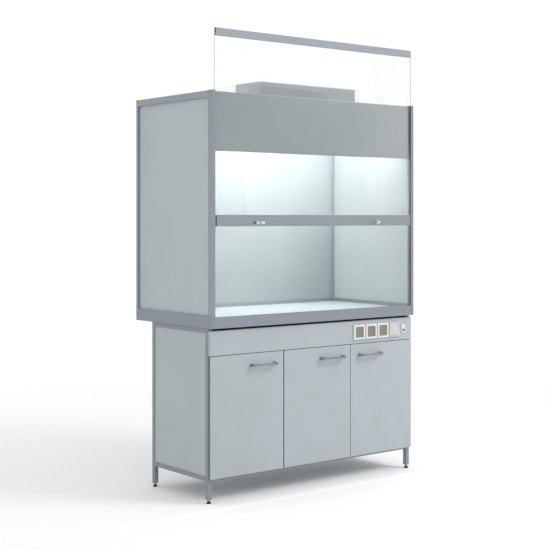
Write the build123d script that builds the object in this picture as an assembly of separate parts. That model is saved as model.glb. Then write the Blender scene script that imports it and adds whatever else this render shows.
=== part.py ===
"""Laboratory fume hood on its base cabinet.

Millimetres, +Z up. The origin is on the floor, under the middle of the whole hood's outline.
The front faces -Y. Pieces on the right are modelled and the left ones are their mirror images.
"""
from build123d import *
import os

# Outside sizes of the hood body, and its heights above the floor
HOOD_WIDTH = 1500.0
HOOD_DEPTH = 750.0
HOOD_UNDERSIDE = 928.5
HOOD_TOP = 2188.0

# Corner posts: aluminium tubes with one round outer corner
POST_WIDTH = 26.6
FRONT_POST_DEPTH = 29.4
REAR_POST_DEPTH = 26.6
POST_WALL = 2.0
POST_CORNER_RADIUS = 10.0

# Rails of the hood frame, and the ledges that carry the worktop and the roof
RAIL_WALL = 2.0
TOP_RAIL_HEIGHT = 36.0
BASE_SIDE_HEIGHT = 67.5
BASE_FRONT_HEIGHT = 59.5
WORKTOP_LEDGE = 20.0
WORKTOP_LEDGE_THICKNESS = 3.0
ROOF_LEDGE = 15.0
ROOF_LEDGE_THICKNESS = 2.0

# Sheets and boards that close the hood
SKIN_THICKNESS = 2.0
SKIN_RECESS = 11.0
SKIN_BITE = 5.0
SEAT_PLAY = 0.2
BACK_LINING_THICKNESS = 8.0
ROOF_THICKNESS = 2.0
WORKTOP_THICKNESS = 20.0
WORKTOP_BELOW_SILL = 15.0

# Header, folded from one sheet
HEADER_SHEET = 1.5
HEADER_SETBACK = 17.0
HEADER_BOTTOM = 1870.6
HEADER_FLANGE = 25.0
HEADER_LIP = 12.0
HEADER_SIDE_FLANGE = 12.0

# Trim inside the chamber
CORNER_TRIM_LEG = 20.0
CORNER_TRIM_THICKNESS = 1.5
FLOOR_TRIM_HEIGHT = 24.0
FLOOR_TRIM_THICKNESS = 3.0

# Exhaust box on the roof, and the collar that takes the duct
EXHAUST_WIDTH = 716.0
EXHAUST_DEPTH = 214.0
EXHAUST_HEIGHT = 82.0
EXHAUST_SETBACK = 100.0
EXHAUST_SHEET = 1.5
EXHAUST_FLANGE = 12.0
DUCT_RADIUS = 100.0
COLLAR_LENGTH = 60.0

# Luminaire under the roof
LAMP_END_GAP = 123.4
LAMP_WIDTH = 50.0
LAMP_SETBACK = 50.0
LAMP_HOUSING_HEIGHT = 34.0
LAMP_SHEET = 1.2
DIFFUSER_DROP = 22.0
DIFFUSER_CLIP = 6.0
DIFFUSER_WALL = 1.5
DIFFUSER_RADIUS = 12.0

# Sash: one pane between a bottom bar and a top rail
SASH_LIFT = 481.0
GLASS_THICKNESS = 5.0
GLASS_SETBACK = 4.5
GLASS_VISIBLE_HEIGHT = 951.0
GLASS_BITE = 15.0
GLASS_EDGE_BITE = 3.1
GLASS_PLAY = 1.5
GROOVE_PLAY = 0.1
BAR_HEIGHT = 60.0
BAR_DEPTH = 14.0
BAR_PROUD = 1.0
BAR_END_GAP = 9.4
BAR_WALL = 2.0
BAR_WEB = 4.0
BAR_EDGE_RADIUS = 1.2
SASH_RAIL_HEIGHT = 40.0
SASH_RAIL_DEPTH = 10.0
SASH_RAIL_END_GAP = 2.4
SASH_RAIL_WALL = 2.0

# Lifting gear: cables in the side walls, pulleys under the top rails, plates as counterweights
CABLE_DIAMETER = 2.5
PULLEY_PITCH_RADIUS = 30.0
PULLEY_FLANGE = 3.0
PULLEY_WIDTH = 7.0
PULLEY_HOLE_RADIUS = 5.5
PULLEY_HOLES = 5
GROOVE_CLEARANCE = 0.3
SHAFT_RADIUS = 5.0
PIN_RADIUS = 4.0
RUNNING_PLAY = 0.05
BRACKET_SHEET = 1.5
BRACKET_CHEEK_RADIUS = 7.2
BRACKET_FOOT = 30.0
BRACKET_SIDE_PLAY = 0.3
CABLE_BELOW_RAIL = 6.0
LUG_THICKNESS = 5.0
LUG_TONGUE_HEIGHT = 30.0
LUG_HEAD_RAISE = 12.0
LUG_TONGUE_LENGTH = 34.0
LUG_PAST_CABLE = 5.8
SHOE_PLAY = 0.4
SHOE_DEPTH = 10.0
COUNTERWEIGHT_THICKNESS = 10.0
COUNTERWEIGHT_HEIGHT = 245.0
COUNTERWEIGHT_BOTTOM = 1332.0
COUNTERWEIGHT_STUD_RADIUS = 4.0
COUNTERWEIGHT_STUD_HEIGHT = 12.0
GLASS_DENSITY = 2.5e-6
ALUMINIUM_DENSITY = 2.7e-6
STEEL_DENSITY = 7.85e-6

# Catches on the bottom bar: a slide bolt in a barrel, with a knob on a stem
CATCH_FROM_BAR_END = 285.4
CATCH_ABOVE_BAR_BOTTOM = 20.0
CATCH_PLATE_THICKNESS = 2.0
CATCH_PLATE_LENGTH = 34.0
CATCH_PLATE_HEIGHT = 18.0
BARREL_RADIUS = 6.0
BARREL_LENGTH = 28.0
BARREL_SLOT_LENGTH = 16.0
BOLT_RADIUS = 4.0
BOLT_TAIL = 4.0
BOLT_TIP_RADIUS = 5.7
BOLT_TIP_LENGTH = 3.2
STEM_RADIUS = 2.5
STEM_PLAY = 0.3
STEM_FROM_BARREL = 3.4
KNOB_STANDOFF = 29.6
KNOB_LENGTH = 24.0
KNOB_HEIGHT = 15.0
KNOB_DEPTH = 13.0
KNOB_ROUNDING = 5.5

# Steel frame of the base cabinet
FRAME_END_INSET = 6.0
FRAME_SETBACK = 38.0
FRAME_REAR_SETBACK = 167.0
TUBE = 25.0
TUBE_WALL = 2.0
LEG_CLEARANCE = 20.0
BOTTOM_RAIL_HEIGHT = 118.0

# Boards of the base cabinet
BOARD = 16.0
SIDE_BOARD_INSET = 4.0
BOARD_PLAY = 0.5
BOARD_SETBACK = 2.0
PARTITION_PAST_THIRD = 3.7
SHELF_HEIGHT = 500.0
SHELF_SETBACK = 32.0

# Fronts
FRONTS_END_INSET = 1.0
FRONTS_SETBACK = 20.0
FRONT_EDGE_RADIUS = 1.0
APRON_THICKNESS = 18.0
APRON_BELOW_HOOD = 13.5
APRON_HEIGHT = 132.0
DOOR_BELOW_APRON = 3.0
DOOR_THICKNESS = 16.0
DOOR_BOTTOM = 130.0
DOOR_GAP = 3.0
DOOR_GAP_AT_PARTITION = 6.0

# Concealed door hinges
HINGE_FROM_DOOR_END = 100.0
CUP_RADIUS = 17.5
CUP_DEPTH = 11.5
CUP_WALL = 1.0
CUP_FLANGE_RADIUS = 20.0
CUP_FLANGE_THICKNESS = 1.2
CUP_EAR_SPACING = 48.0
CUP_EAR_RADIUS = 6.0
CUP_PAST_CARCASS = 4.5
CUP_EDGE_MARGIN = 3.0
HINGE_ARM_HEIGHT = 14.0
HINGE_ARM_WIDTH = 10.0
HINGE_ARM_LENGTH = 62.0
HINGE_TIP_SETBACK = 16.0
HINGE_PLATE_THICKNESS = 3.0
HINGE_PLATE_HEIGHT = 40.0
HINGE_PLATE_LENGTH = 20.0
HINGE_CLEARANCE = 0.3

# Bow handles
HANDLE_CENTRES = 160.0
HANDLE_FROM_DOOR_EDGE = 65.0
HANDLE_BELOW_DOOR_TOP = 63.0
HANDLE_REACH = 36.0
HANDLE_RADIUS = 5.0
HANDLE_BEND_RADIUS = 14.0
HANDLE_FOOT_RADIUS = 7.0
HANDLE_FOOT_HEIGHT = 7.0

# Levelling feet
FOOT_PAD_RADIUS = 12.0
FOOT_PAD_HEIGHT = 9.0
FOOT_HUB_RADIUS = 7.0
FOOT_HUB_HEIGHT = 13.0
FOOT_STUD_RADIUS = 4.0
FOOT_STUD_LENGTH = 58.0
LEG_PLATE_THICKNESS = 5.0

# Sockets and switches on the apron
DEVICE_PITCH = 94.0
SOCKET_COUNT = 3
DEVICE_FRAME = 86.0
DEVICE_FRAME_PROUD = 10.0
DEVICE_FRAME_RADIUS = 3.0
DEVICE_BODY = 58.0
DEVICE_BODY_DEPTH = 26.0
CUTOUT_PLAY = 0.5
WINDOW = 63.0
WINDOW_DEPTH = 7.0
SOCKET_WELL_RADIUS = 19.5
SOCKET_WELL_DEPTH = 17.0
CONTACT_RADIUS = 2.6
CONTACT_SPACING = 19.0
LID_THICKNESS = 3.0
LID_RECESS = 0.5
LID_PLAY = 0.5
LID_PIN_RADIUS = 0.8
LID_PIN_LENGTH = 3.0
LID_TAB_WIDTH = 17.0
LID_TAB_HEIGHT = 7.0
ROCKER_WINDOW = 68.0
ROCKER_PLAY = 0.9
ROCKER_THICKNESS = 8.0
ROCKER_CROWN = 3.0
ROCKER_TILT = 3.5
ROCKER_PIN_RADIUS = 1.5
ROCKER_PIN_LENGTH = 3.0
ROCKER_AXIS_DEPTH = 6.0
BUTTON_PLATE_FROM_SWITCH = 76.0
BUTTON_PLATE_FROM_END = 69.0
BUTTON_PLATE_WIDTH = 28.0
BUTTON_PLATE_HEIGHT = 50.0
BUTTON_PLATE_PROUD = 6.0
BUTTON_PLATE_RADIUS = 5.0
BUTTON_DROP = 8.0
BUTTON_RADIUS = 7.0
BUTTON_PLAY = 0.3
BUTTON_PROUD = 4.5
BUTTON_COLLAR_RADIUS = 9.0
BUTTON_COLLAR_THICKNESS = 1.5
BUTTON_TRAVEL = 2.5

# Main planes, worked out from the sizes above
KNOB_FRONT = BAR_PROUD + KNOB_STANDOFF + KNOB_DEPTH / 2
FRONT = (KNOB_FRONT - HOOD_DEPTH) / 2
REAR = FRONT + HOOD_DEPTH
HALF = HOOD_WIDTH / 2
INNER = HALF - POST_WIDTH
SILL_TOP = HOOD_UNDERSIDE + BASE_FRONT_HEIGHT
BASE_TOP = HOOD_UNDERSIDE + BASE_SIDE_HEIGHT
TOP_RAIL_BOTTOM = HOOD_TOP - TOP_RAIL_HEIGHT
WORKTOP_TOP = SILL_TOP - WORKTOP_BELOW_SILL
WORKTOP_BOTTOM = WORKTOP_TOP - WORKTOP_THICKNESS
ROOF_BOTTOM = HOOD_TOP - 2 * ROOF_THICKNESS
POST_BACK = FRONT + FRONT_POST_DEPTH
REAR_POST_FRONT = REAR - REAR_POST_DEPTH
LINING_FRONT = REAR_POST_FRONT - BACK_LINING_THICKNESS
SKIN_OUTER = HALF - SKIN_RECESS
CAVITY_OUTER = SKIN_OUTER - SKIN_THICKNESS
CAVITY_INNER = INNER + SKIN_THICKNESS
CABLE_X = (CAVITY_INNER + CAVITY_OUTER) / 2
GLASS_FRONT = FRONT + GLASS_SETBACK
GLASS_MIDDLE = GLASS_FRONT + GLASS_THICKNESS / 2
BAR_BOTTOM = SILL_TOP + SASH_LIFT
BAR_TOP = BAR_BOTTOM + BAR_HEIGHT
SASH_RAIL_BOTTOM = BAR_TOP + GLASS_VISIBLE_HEIGHT
CABLE_TOP = TOP_RAIL_BOTTOM - CABLE_BELOW_RAIL
PULLEY_Z = CABLE_TOP - PULLEY_PITCH_RADIUS
FRONT_PULLEY_Y = GLASS_MIDDLE + PULLEY_PITCH_RADIUS
COUNTERWEIGHT_Y = (POST_BACK + REAR_POST_FRONT) / 2
REAR_PULLEY_Y = COUNTERWEIGHT_Y - PULLEY_PITCH_RADIUS
FRONTS_FACE = FRONT + FRONTS_SETBACK
FRAME_FRONT = FRONT + FRAME_SETBACK
FRAME_REAR = REAR - FRAME_REAR_SETBACK
FRAME_HALF = HALF - FRAME_END_INSET
FRONTS_HALF = FRAME_HALF - FRONTS_END_INSET
PARTITION_X = PARTITION_PAST_THIRD - FRONTS_HALF / 3
LAMP_HALF = INNER - LAMP_END_GAP
CATCH_STEM_X = INNER - BAR_END_GAP - CATCH_FROM_BAR_END
FLOOR_BOARD_BOTTOM = BOTTOM_RAIL_HEIGHT + TUBE
FLOOR_BOARD_TOP = FLOOR_BOARD_BOTTOM + BOARD
CARCASS_TOP = HOOD_UNDERSIDE - TUBE
SIDE_BOARD_INNER = FRAME_HALF - SIDE_BOARD_INSET - BOARD
BACK_BOARD_FRONT = FRAME_REAR - (TUBE + BOARD) / 2
APRON_TOP = HOOD_UNDERSIDE - APRON_BELOW_HOOD
APRON_BOTTOM = APRON_TOP - APRON_HEIGHT
DEVICE_HEIGHT = (APRON_BOTTOM + APRON_TOP) / 2
DOOR_TOP = APRON_BOTTOM - DOOR_BELOW_APRON


def block(x, y, z):
    """Box between a low and a high value on each axis."""
    centre = Pos((x[0] + x[1]) / 2, (y[0] + y[1]) / 2, (z[0] + z[1]) / 2)
    return centre * Box(x[1] - x[0], y[1] - y[0], z[1] - z[0])


def rod(radius, start, end):
    """Round bar between two points."""
    a = Vector(*start)
    b = Vector(*end)
    base = Plane(origin=a, z_dir=b - a)
    return extrude(base * Circle(radius), (b - a).length)


def mirrored(piece):
    """The same piece on the hood's left."""
    return mirror(piece, about=Plane.YZ)


def pair(piece):
    """A right-hand piece and its mirror image."""
    return [piece, mirrored(piece)]


def upright_edges(piece, corner):
    """The piece's vertical edges, the one furthest towards the corner (x, y) first."""
    edges = piece.edges().filter_by(Axis.Z)
    return edges.sort_by(lambda e: -(e.center().X * corner[0] + e.center().Y * corner[1]))


def rail_along_x(half_length, y, z, wall):
    """Square tube across the hood, open at both ends."""
    tube = block((-half_length, half_length), y, z)
    hollow = block((-half_length, half_length), (y[0] + wall, y[1] - wall), (z[0] + wall, z[1] - wall))
    return tube - hollow


def front_posts():
    """Front corner posts, slotted for the sash and for the outer skin."""
    z = (BASE_TOP, HOOD_TOP)
    outer = block((INNER, HALF), (FRONT, POST_BACK), z)
    outer = fillet(upright_edges(outer, (1, -1))[0], POST_CORNER_RADIUS)
    x_in = (INNER + POST_WALL, HALF - POST_WALL)
    y_in = (FRONT + POST_WALL, POST_BACK - POST_WALL)
    chamber = block(x_in, y_in, z)
    chamber = fillet(upright_edges(chamber, (1, -1))[0], POST_CORNER_RADIUS - POST_WALL)
    sash_slot = block(
        (INNER - 1, INNER + POST_WALL + 1),
        (GLASS_FRONT - GLASS_PLAY, GLASS_FRONT + GLASS_THICKNESS + GLASS_PLAY),
        z,
    )
    skin_slot = block(
        (CAVITY_OUTER - SEAT_PLAY, SKIN_OUTER + SEAT_PLAY),
        (POST_BACK - POST_WALL - 1, POST_BACK + 1),
        (BASE_TOP, TOP_RAIL_BOTTOM + SEAT_PLAY),
    )
    half_window = PULLEY_WIDTH / 2 + 1
    pulley_window = block(
        (CABLE_X - half_window, CABLE_X + half_window),
        (POST_BACK - POST_WALL - 1, POST_BACK + 1),
        (PULLEY_Z - PULLEY_PITCH_RADIUS - 2 * PULLEY_FLANGE, TOP_RAIL_BOTTOM),
    )
    return pair(outer - chamber - sash_slot - skin_slot - pulley_window)


def rear_posts():
    """Rear corner posts, slotted for the side skin and the back skin."""
    z = (BASE_TOP, HOOD_TOP)
    outer = block((INNER, HALF), (REAR_POST_FRONT, REAR), z)
    outer = fillet(upright_edges(outer, (1, 1))[0], POST_CORNER_RADIUS)
    x_in = (INNER + POST_WALL, HALF - POST_WALL)
    chamber = block(x_in, (REAR_POST_FRONT + POST_WALL, REAR - POST_WALL), z)
    chamber = fillet(upright_edges(chamber, (1, 1))[0], POST_CORNER_RADIUS - POST_WALL)
    slot_z = (BASE_TOP, TOP_RAIL_BOTTOM + SEAT_PLAY)
    side_slot = block(
        (CAVITY_OUTER - SEAT_PLAY, SKIN_OUTER + SEAT_PLAY),
        (REAR_POST_FRONT - 1, REAR_POST_FRONT + POST_WALL + 1),
        slot_z,
    )
    back_outer = REAR - SKIN_RECESS
    back_slot = block(
        (INNER - 1, INNER + POST_WALL + 1),
        (back_outer - SKIN_THICKNESS - SEAT_PLAY, back_outer + SEAT_PLAY),
        slot_z,
    )
    return pair(outer - chamber - side_slot - back_slot)


def side_top_rails():
    """Top rails between the posts, with the ledge that carries the roof behind the header."""
    y = (POST_BACK, REAR_POST_FRONT)
    ledge_y = (FRONT + HEADER_SETBACK + HEADER_FLANGE, REAR_POST_FRONT)
    tube = block((INNER, HALF), y, (TOP_RAIL_BOTTOM, HOOD_TOP))
    x_in = (INNER + RAIL_WALL, HALF - RAIL_WALL)
    hollow = block(x_in, y, (TOP_RAIL_BOTTOM + RAIL_WALL, HOOD_TOP - RAIL_WALL))
    ledge = block((INNER - ROOF_LEDGE, INNER), ledge_y, (ROOF_BOTTOM - ROOF_LEDGE_THICKNESS, ROOF_BOTTOM))
    return pair(tube + ledge - hollow)


def rear_top_rail():
    """Top rail across the back, with its ledge for the roof."""
    rail = rail_along_x(INNER, (REAR_POST_FRONT, REAR), (TOP_RAIL_BOTTOM, HOOD_TOP), RAIL_WALL)
    half_ledge = INNER - ROOF_LEDGE
    ledge_z = (ROOF_BOTTOM - ROOF_LEDGE_THICKNESS, ROOF_BOTTOM)
    ledge = block((-half_ledge, half_ledge), (REAR_POST_FRONT - ROOF_LEDGE, REAR_POST_FRONT), ledge_z)
    return [rail + ledge]


def base_side_rails():
    """Deep base rails under the posts, closed at both ends, with the worktop's ledge."""
    rail = block((INNER, HALF), (FRONT, REAR), (HOOD_UNDERSIDE, BASE_TOP))
    rail = fillet(upright_edges(rail, (1, -1))[0], POST_CORNER_RADIUS)
    rail = fillet(upright_edges(rail, (1, 1))[0], POST_CORNER_RADIUS)
    end = POST_CORNER_RADIUS
    hollow = block(
        (INNER + RAIL_WALL, HALF - RAIL_WALL),
        (FRONT + end, REAR - end),
        (HOOD_UNDERSIDE + RAIL_WALL, BASE_TOP - RAIL_WALL),
    )
    ledge = block(
        (INNER - WORKTOP_LEDGE, INNER),
        (POST_BACK, REAR_POST_FRONT),
        (WORKTOP_BOTTOM - WORKTOP_LEDGE_THICKNESS, WORKTOP_BOTTOM),
    )
    return pair(rail - hollow + ledge)


def base_front_rail():
    """Sill across the front of the chamber."""
    rail = rail_along_x(INNER, (FRONT, POST_BACK), (HOOD_UNDERSIDE, SILL_TOP), RAIL_WALL)
    half_ledge = INNER - WORKTOP_LEDGE
    ledge_z = (WORKTOP_BOTTOM - WORKTOP_LEDGE_THICKNESS, WORKTOP_BOTTOM)
    return [rail + block((-half_ledge, half_ledge), (POST_BACK, POST_BACK + WORKTOP_LEDGE), ledge_z)]


def base_rear_rail():
    """Base rail across the back."""
    rail = rail_along_x(INNER, (REAR_POST_FRONT, REAR), (HOOD_UNDERSIDE, BASE_TOP), RAIL_WALL)
    half_ledge = INNER - WORKTOP_LEDGE
    ledge_z = (WORKTOP_BOTTOM - WORKTOP_LEDGE_THICKNESS, WORKTOP_BOTTOM)
    ledge_y = (REAR_POST_FRONT - WORKTOP_LEDGE, REAR_POST_FRONT)
    return [rail + block((-half_ledge, half_ledge), ledge_y, ledge_z)]


def outer_side_panels():
    """Outer skins of the side walls, their edges in the posts' slots."""
    y = (POST_BACK - SKIN_BITE, REAR_POST_FRONT + SKIN_BITE)
    return pair(block((CAVITY_OUTER, SKIN_OUTER), y, (BASE_TOP, TOP_RAIL_BOTTOM)))


def inner_side_linings():
    """Linings of the side walls, each with a hole for the pulley shaft."""
    lining = block((INNER, CAVITY_INNER), (POST_BACK, REAR_POST_FRONT), (BASE_TOP, TOP_RAIL_BOTTOM))
    hole_radius = SHAFT_RADIUS + 2.0
    hole = rod(hole_radius, (INNER - 1, FRONT_PULLEY_Y, PULLEY_Z), (CAVITY_INNER + 1, FRONT_PULLEY_Y, PULLEY_Z))
    return pair(lining - hole)


def outer_back_panel():
    """Outer skin of the back, its edges in the rear posts' slots."""
    outer = REAR - SKIN_RECESS
    half = INNER + SKIN_BITE
    return [block((-half, half), (outer - SKIN_THICKNESS, outer), (BASE_TOP, TOP_RAIL_BOTTOM))]


def back_lining():
    """Board that lines the back of the chamber, standing on the rear rail's ledge behind the worktop."""
    top = ROOF_BOTTOM - ROOF_LEDGE_THICKNESS
    return [block((-INNER, INNER), (LINING_FRONT, REAR_POST_FRONT), (WORKTOP_BOTTOM, top))]


def worktop():
    """Worktop between the foot trims, resting on the ledges of the base rails."""
    half = INNER - FLOOR_TRIM_THICKNESS
    return [block((-half, half), (POST_BACK, LINING_FRONT - FLOOR_TRIM_THICKNESS), (WORKTOP_BOTTOM, WORKTOP_TOP))]


def roof_panel():
    """Roof sheet with the opening under the exhaust box."""
    sheet = block(
        (-INNER, INNER), (FRONT + HEADER_SETBACK, REAR_POST_FRONT), (ROOF_BOTTOM, ROOF_BOTTOM + ROOF_THICKNESS)
    )
    half = EXHAUST_WIDTH / 2 - EXHAUST_FLANGE
    y = (FRONT + EXHAUST_SETBACK + EXHAUST_FLANGE, FRONT + EXHAUST_SETBACK + EXHAUST_DEPTH - EXHAUST_FLANGE)
    return [sheet - block((-half, half), y, (ROOF_BOTTOM - 1, ROOF_BOTTOM + ROOF_THICKNESS + 1))]


def exhaust_box():
    """Folded box on the roof, with a collar that hangs in from its top."""
    z0 = ROOF_BOTTOM + ROOF_THICKNESS
    top = z0 + EXHAUST_HEIGHT
    half = EXHAUST_WIDTH / 2
    y0 = FRONT + EXHAUST_SETBACK
    y1 = y0 + EXHAUST_DEPTH
    shell = block((-half, half), (y0, y1), (z0, top))
    t = EXHAUST_SHEET
    shell -= block((-half + t, half - t), (y0 + t, y1 - t), (z0 + t, top - t))
    f = EXHAUST_FLANGE
    shell -= block((-half + f, half - f), (y0 + f, y1 - f), (z0 - 1, z0 + t + 1))
    middle = (y0 + y1) / 2
    collar = rod(DUCT_RADIUS + t, (0, middle, top - COLLAR_LENGTH), (0, middle, top))
    bore = rod(DUCT_RADIUS, (0, middle, top - COLLAR_LENGTH - 1), (0, middle, top + 1))
    return [shell + collar - bore]


def header_panel():
    """Header sheet, folded back on all four sides."""
    t = HEADER_SHEET
    y0 = FRONT + HEADER_SETBACK
    face = block((-INNER, INNER), (y0, y0 + t), (HEADER_BOTTOM, ROOF_BOTTOM))
    y_flange = (y0, y0 + HEADER_FLANGE)
    bottom = block((-INNER, INNER), y_flange, (HEADER_BOTTOM, HEADER_BOTTOM + t))
    top = block((-INNER, INNER), y_flange, (ROOF_BOTTOM - t, ROOF_BOTTOM))
    lip_y = (y0 + HEADER_FLANGE - t, y0 + HEADER_FLANGE)
    lip = block((-INNER, INNER), lip_y, (HEADER_BOTTOM, HEADER_BOTTOM + HEADER_LIP))
    side = block((INNER - t, INNER), (y0, y0 + HEADER_SIDE_FLANGE), (HEADER_BOTTOM, ROOF_BOTTOM))
    panel = face + bottom + top + lip + side + mirrored(side)
    front_edges = panel.edges().filter_by(Axis.X).group_by(Axis.Y)[0]
    return [fillet(front_edges, t)]


def interior_trim():
    """Angle trims in the rear corners, and round the worktop a strip along the foot of each wall."""
    leg = CORNER_TRIM_LEG
    t = CORNER_TRIM_THICKNESS
    z = (WORKTOP_TOP + FLOOR_TRIM_HEIGHT, ROOF_BOTTOM - ROOF_LEDGE_THICKNESS)
    corner = block((INNER - leg, INNER), (LINING_FRONT - t, LINING_FRONT), z)
    corner += block((INNER - t, INNER), (LINING_FRONT - leg, LINING_FRONT), z)
    z_foot = (WORKTOP_BOTTOM, WORKTOP_TOP + FLOOR_TRIM_HEIGHT)
    back = block((-INNER, INNER), (LINING_FRONT - FLOOR_TRIM_THICKNESS, LINING_FRONT), z_foot)
    side_y = (POST_BACK, LINING_FRONT - FLOOR_TRIM_THICKNESS)
    side = block((INNER - FLOOR_TRIM_THICKNESS, INNER), side_y, z_foot)
    return [back, *pair(corner), *pair(side)]


def lamp_housing():
    """Sheet trough of the luminaire, fixed under the roof."""
    y0 = FRONT + LAMP_SETBACK
    z0 = ROOF_BOTTOM - LAMP_HOUSING_HEIGHT
    half = LAMP_HALF
    t = LAMP_SHEET
    trough = block((-half, half), (y0, y0 + LAMP_WIDTH), (z0, ROOF_BOTTOM))
    return [trough - block((-half + t, half - t), (y0 + t, y0 + LAMP_WIDTH - t), (z0 - 1, ROOF_BOTTOM - t))]


def lamp_diffuser():
    """Opal cover with rounded lower edges, clipped into the trough."""
    inset = LAMP_SHEET + SEAT_PLAY
    y = (FRONT + LAMP_SETBACK + inset, FRONT + LAMP_SETBACK + LAMP_WIDTH - inset)
    half = LAMP_HALF - inset
    z0 = ROOF_BOTTOM - LAMP_HOUSING_HEIGHT - DIFFUSER_DROP
    z1 = ROOF_BOTTOM - LAMP_HOUSING_HEIGHT + DIFFUSER_CLIP
    w = DIFFUSER_WALL
    cover = block((-half, half), y, (z0, z1))
    cover = fillet(cover.edges().filter_by(Axis.X).group_by(Axis.Z)[0], DIFFUSER_RADIUS)
    inside = block((-half + w, half - w), (y[0] + w, y[1] - w), (z0 + w, z1 + w))
    inside = fillet(inside.edges().filter_by(Axis.X).group_by(Axis.Z)[0], DIFFUSER_RADIUS - w)
    return [cover - inside]


def sash_glass():
    """The pane, its lower and upper edges in the bar and the rail."""
    half = INNER + GLASS_EDGE_BITE
    y = (GLASS_FRONT, GLASS_FRONT + GLASS_THICKNESS)
    return [block((-half, half), y, (BAR_TOP - GLASS_BITE, SASH_RAIL_BOTTOM + GLASS_BITE))]


def sash_groove(half_length, z):
    """Groove that takes an edge of the pane."""
    y = (GLASS_FRONT - GROOVE_PLAY, GLASS_FRONT + GLASS_THICKNESS + GROOVE_PLAY)
    return block((-half_length, half_length), y, z)


def sash_bottom_bar():
    """Bottom bar: a hollow section, open at both ends, with the pane's groove on top."""
    half = INNER - BAR_END_GAP
    y0 = FRONT - BAR_PROUD
    bar = block((-half, half), (y0, y0 + BAR_DEPTH), (BAR_BOTTOM, BAR_TOP))
    bar = fillet(bar.edges().filter_by(Axis.X), BAR_EDGE_RADIUS)
    w = BAR_WALL
    hollow_top = BAR_TOP - GLASS_BITE - BAR_WEB
    bar -= block((-half, half), (y0 + w, y0 + BAR_DEPTH - w), (BAR_BOTTOM + w, hollow_top))
    return [bar - sash_groove(half, (BAR_TOP - GLASS_BITE, BAR_TOP + 1))]


def sash_top_rail():
    """Top rail: a slim hollow section clamped on the pane's upper edge."""
    half = INNER - SASH_RAIL_END_GAP
    y0 = GLASS_MIDDLE - SASH_RAIL_DEPTH / 2
    z1 = SASH_RAIL_BOTTOM + SASH_RAIL_HEIGHT
    w = SASH_RAIL_WALL
    rail = block((-half, half), (y0, y0 + SASH_RAIL_DEPTH), (SASH_RAIL_BOTTOM, z1))
    rail = fillet(rail.edges().filter_by(Axis.X).group_by(Axis.Z)[-1], BAR_EDGE_RADIUS)
    hollow_z = (SASH_RAIL_BOTTOM + GLASS_BITE + w, z1 - w)
    rail -= block((-half, half), (y0 + w, y0 + SASH_RAIL_DEPTH - w), hollow_z)
    return [rail - sash_groove(half, (SASH_RAIL_BOTTOM - 1, SASH_RAIL_BOTTOM + GLASS_BITE))]


def sash_lift_lugs():
    """Lugs in the bar's ends that reach through the posts' slots, each with a shoe that closes the bar's end."""
    end = INNER - BAR_END_GAP
    floor = BAR_BOTTOM + BAR_WALL
    y0 = FRONT - BAR_PROUD + BAR_WALL + GROOVE_PLAY
    y1 = FRONT - BAR_PROUD + BAR_DEPTH - BAR_WALL - GROOVE_PLAY
    top = floor + LUG_TONGUE_HEIGHT
    tongue = block((end - LUG_TONGUE_LENGTH, end), (y0, y1), (floor, top))
    half_t = LUG_THICKNESS / 2
    head_y = (GLASS_MIDDLE - half_t, GLASS_MIDDLE + half_t)
    head = block((end, CABLE_X + LUG_PAST_CABLE), head_y, (BAR_BOTTOM + LUG_HEAD_RAISE, top))
    shoe_y = (GLASS_MIDDLE - SHOE_DEPTH / 2, GLASS_MIDDLE + SHOE_DEPTH / 2)
    shoe = block((end, INNER - SHOE_PLAY), shoe_y, (BAR_BOTTOM, BAR_TOP))
    shoe -= sash_groove(INNER, (BAR_TOP - GLASS_BITE - GROOVE_PLAY, BAR_TOP + 1))
    return pair(tongue + head + shoe)


def cable_at(y, z0, z1):
    """Straight upright run of cable in the right-hand side wall."""
    return rod(CABLE_DIAMETER / 2, (CABLE_X, y, z0), (CABLE_X, y, z1))


def front_cable_runs():
    """Runs from the lugs up to the front pulleys."""
    return pair(cable_at(GLASS_MIDDLE, BAR_BOTTOM + BAR_WALL + LUG_TONGUE_HEIGHT, PULLEY_Z))


def rear_cable():
    """Run from the rear pulley down to the right counterweight."""
    stud_top = COUNTERWEIGHT_BOTTOM + COUNTERWEIGHT_HEIGHT + COUNTERWEIGHT_STUD_HEIGHT
    return cable_at(COUNTERWEIGHT_Y, stud_top, PULLEY_Z)


def top_cable_runs():
    """Runs over both pulleys and along the side walls, under the top rails."""
    r = PULLEY_PITCH_RADIUS
    bend = r * 0.5**0.5
    start = Vector(CABLE_X, GLASS_MIDDLE, PULLEY_Z)
    over_front = Vector(CABLE_X, FRONT_PULLEY_Y, CABLE_TOP)
    over_rear = Vector(CABLE_X, REAR_PULLEY_Y, CABLE_TOP)
    end = Vector(CABLE_X, COUNTERWEIGHT_Y, PULLEY_Z)
    path = ThreePointArc(start, (CABLE_X, FRONT_PULLEY_Y - bend, PULLEY_Z + bend), over_front)
    path += Line(over_front, over_rear)
    path += ThreePointArc(over_rear, (CABLE_X, REAR_PULLEY_Y + bend, PULLEY_Z + bend), end)
    section = Plane(origin=start, z_dir=(0, 0, 1)) * Circle(CABLE_DIAMETER / 2)
    return pair(sweep(section, path=path))


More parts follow.
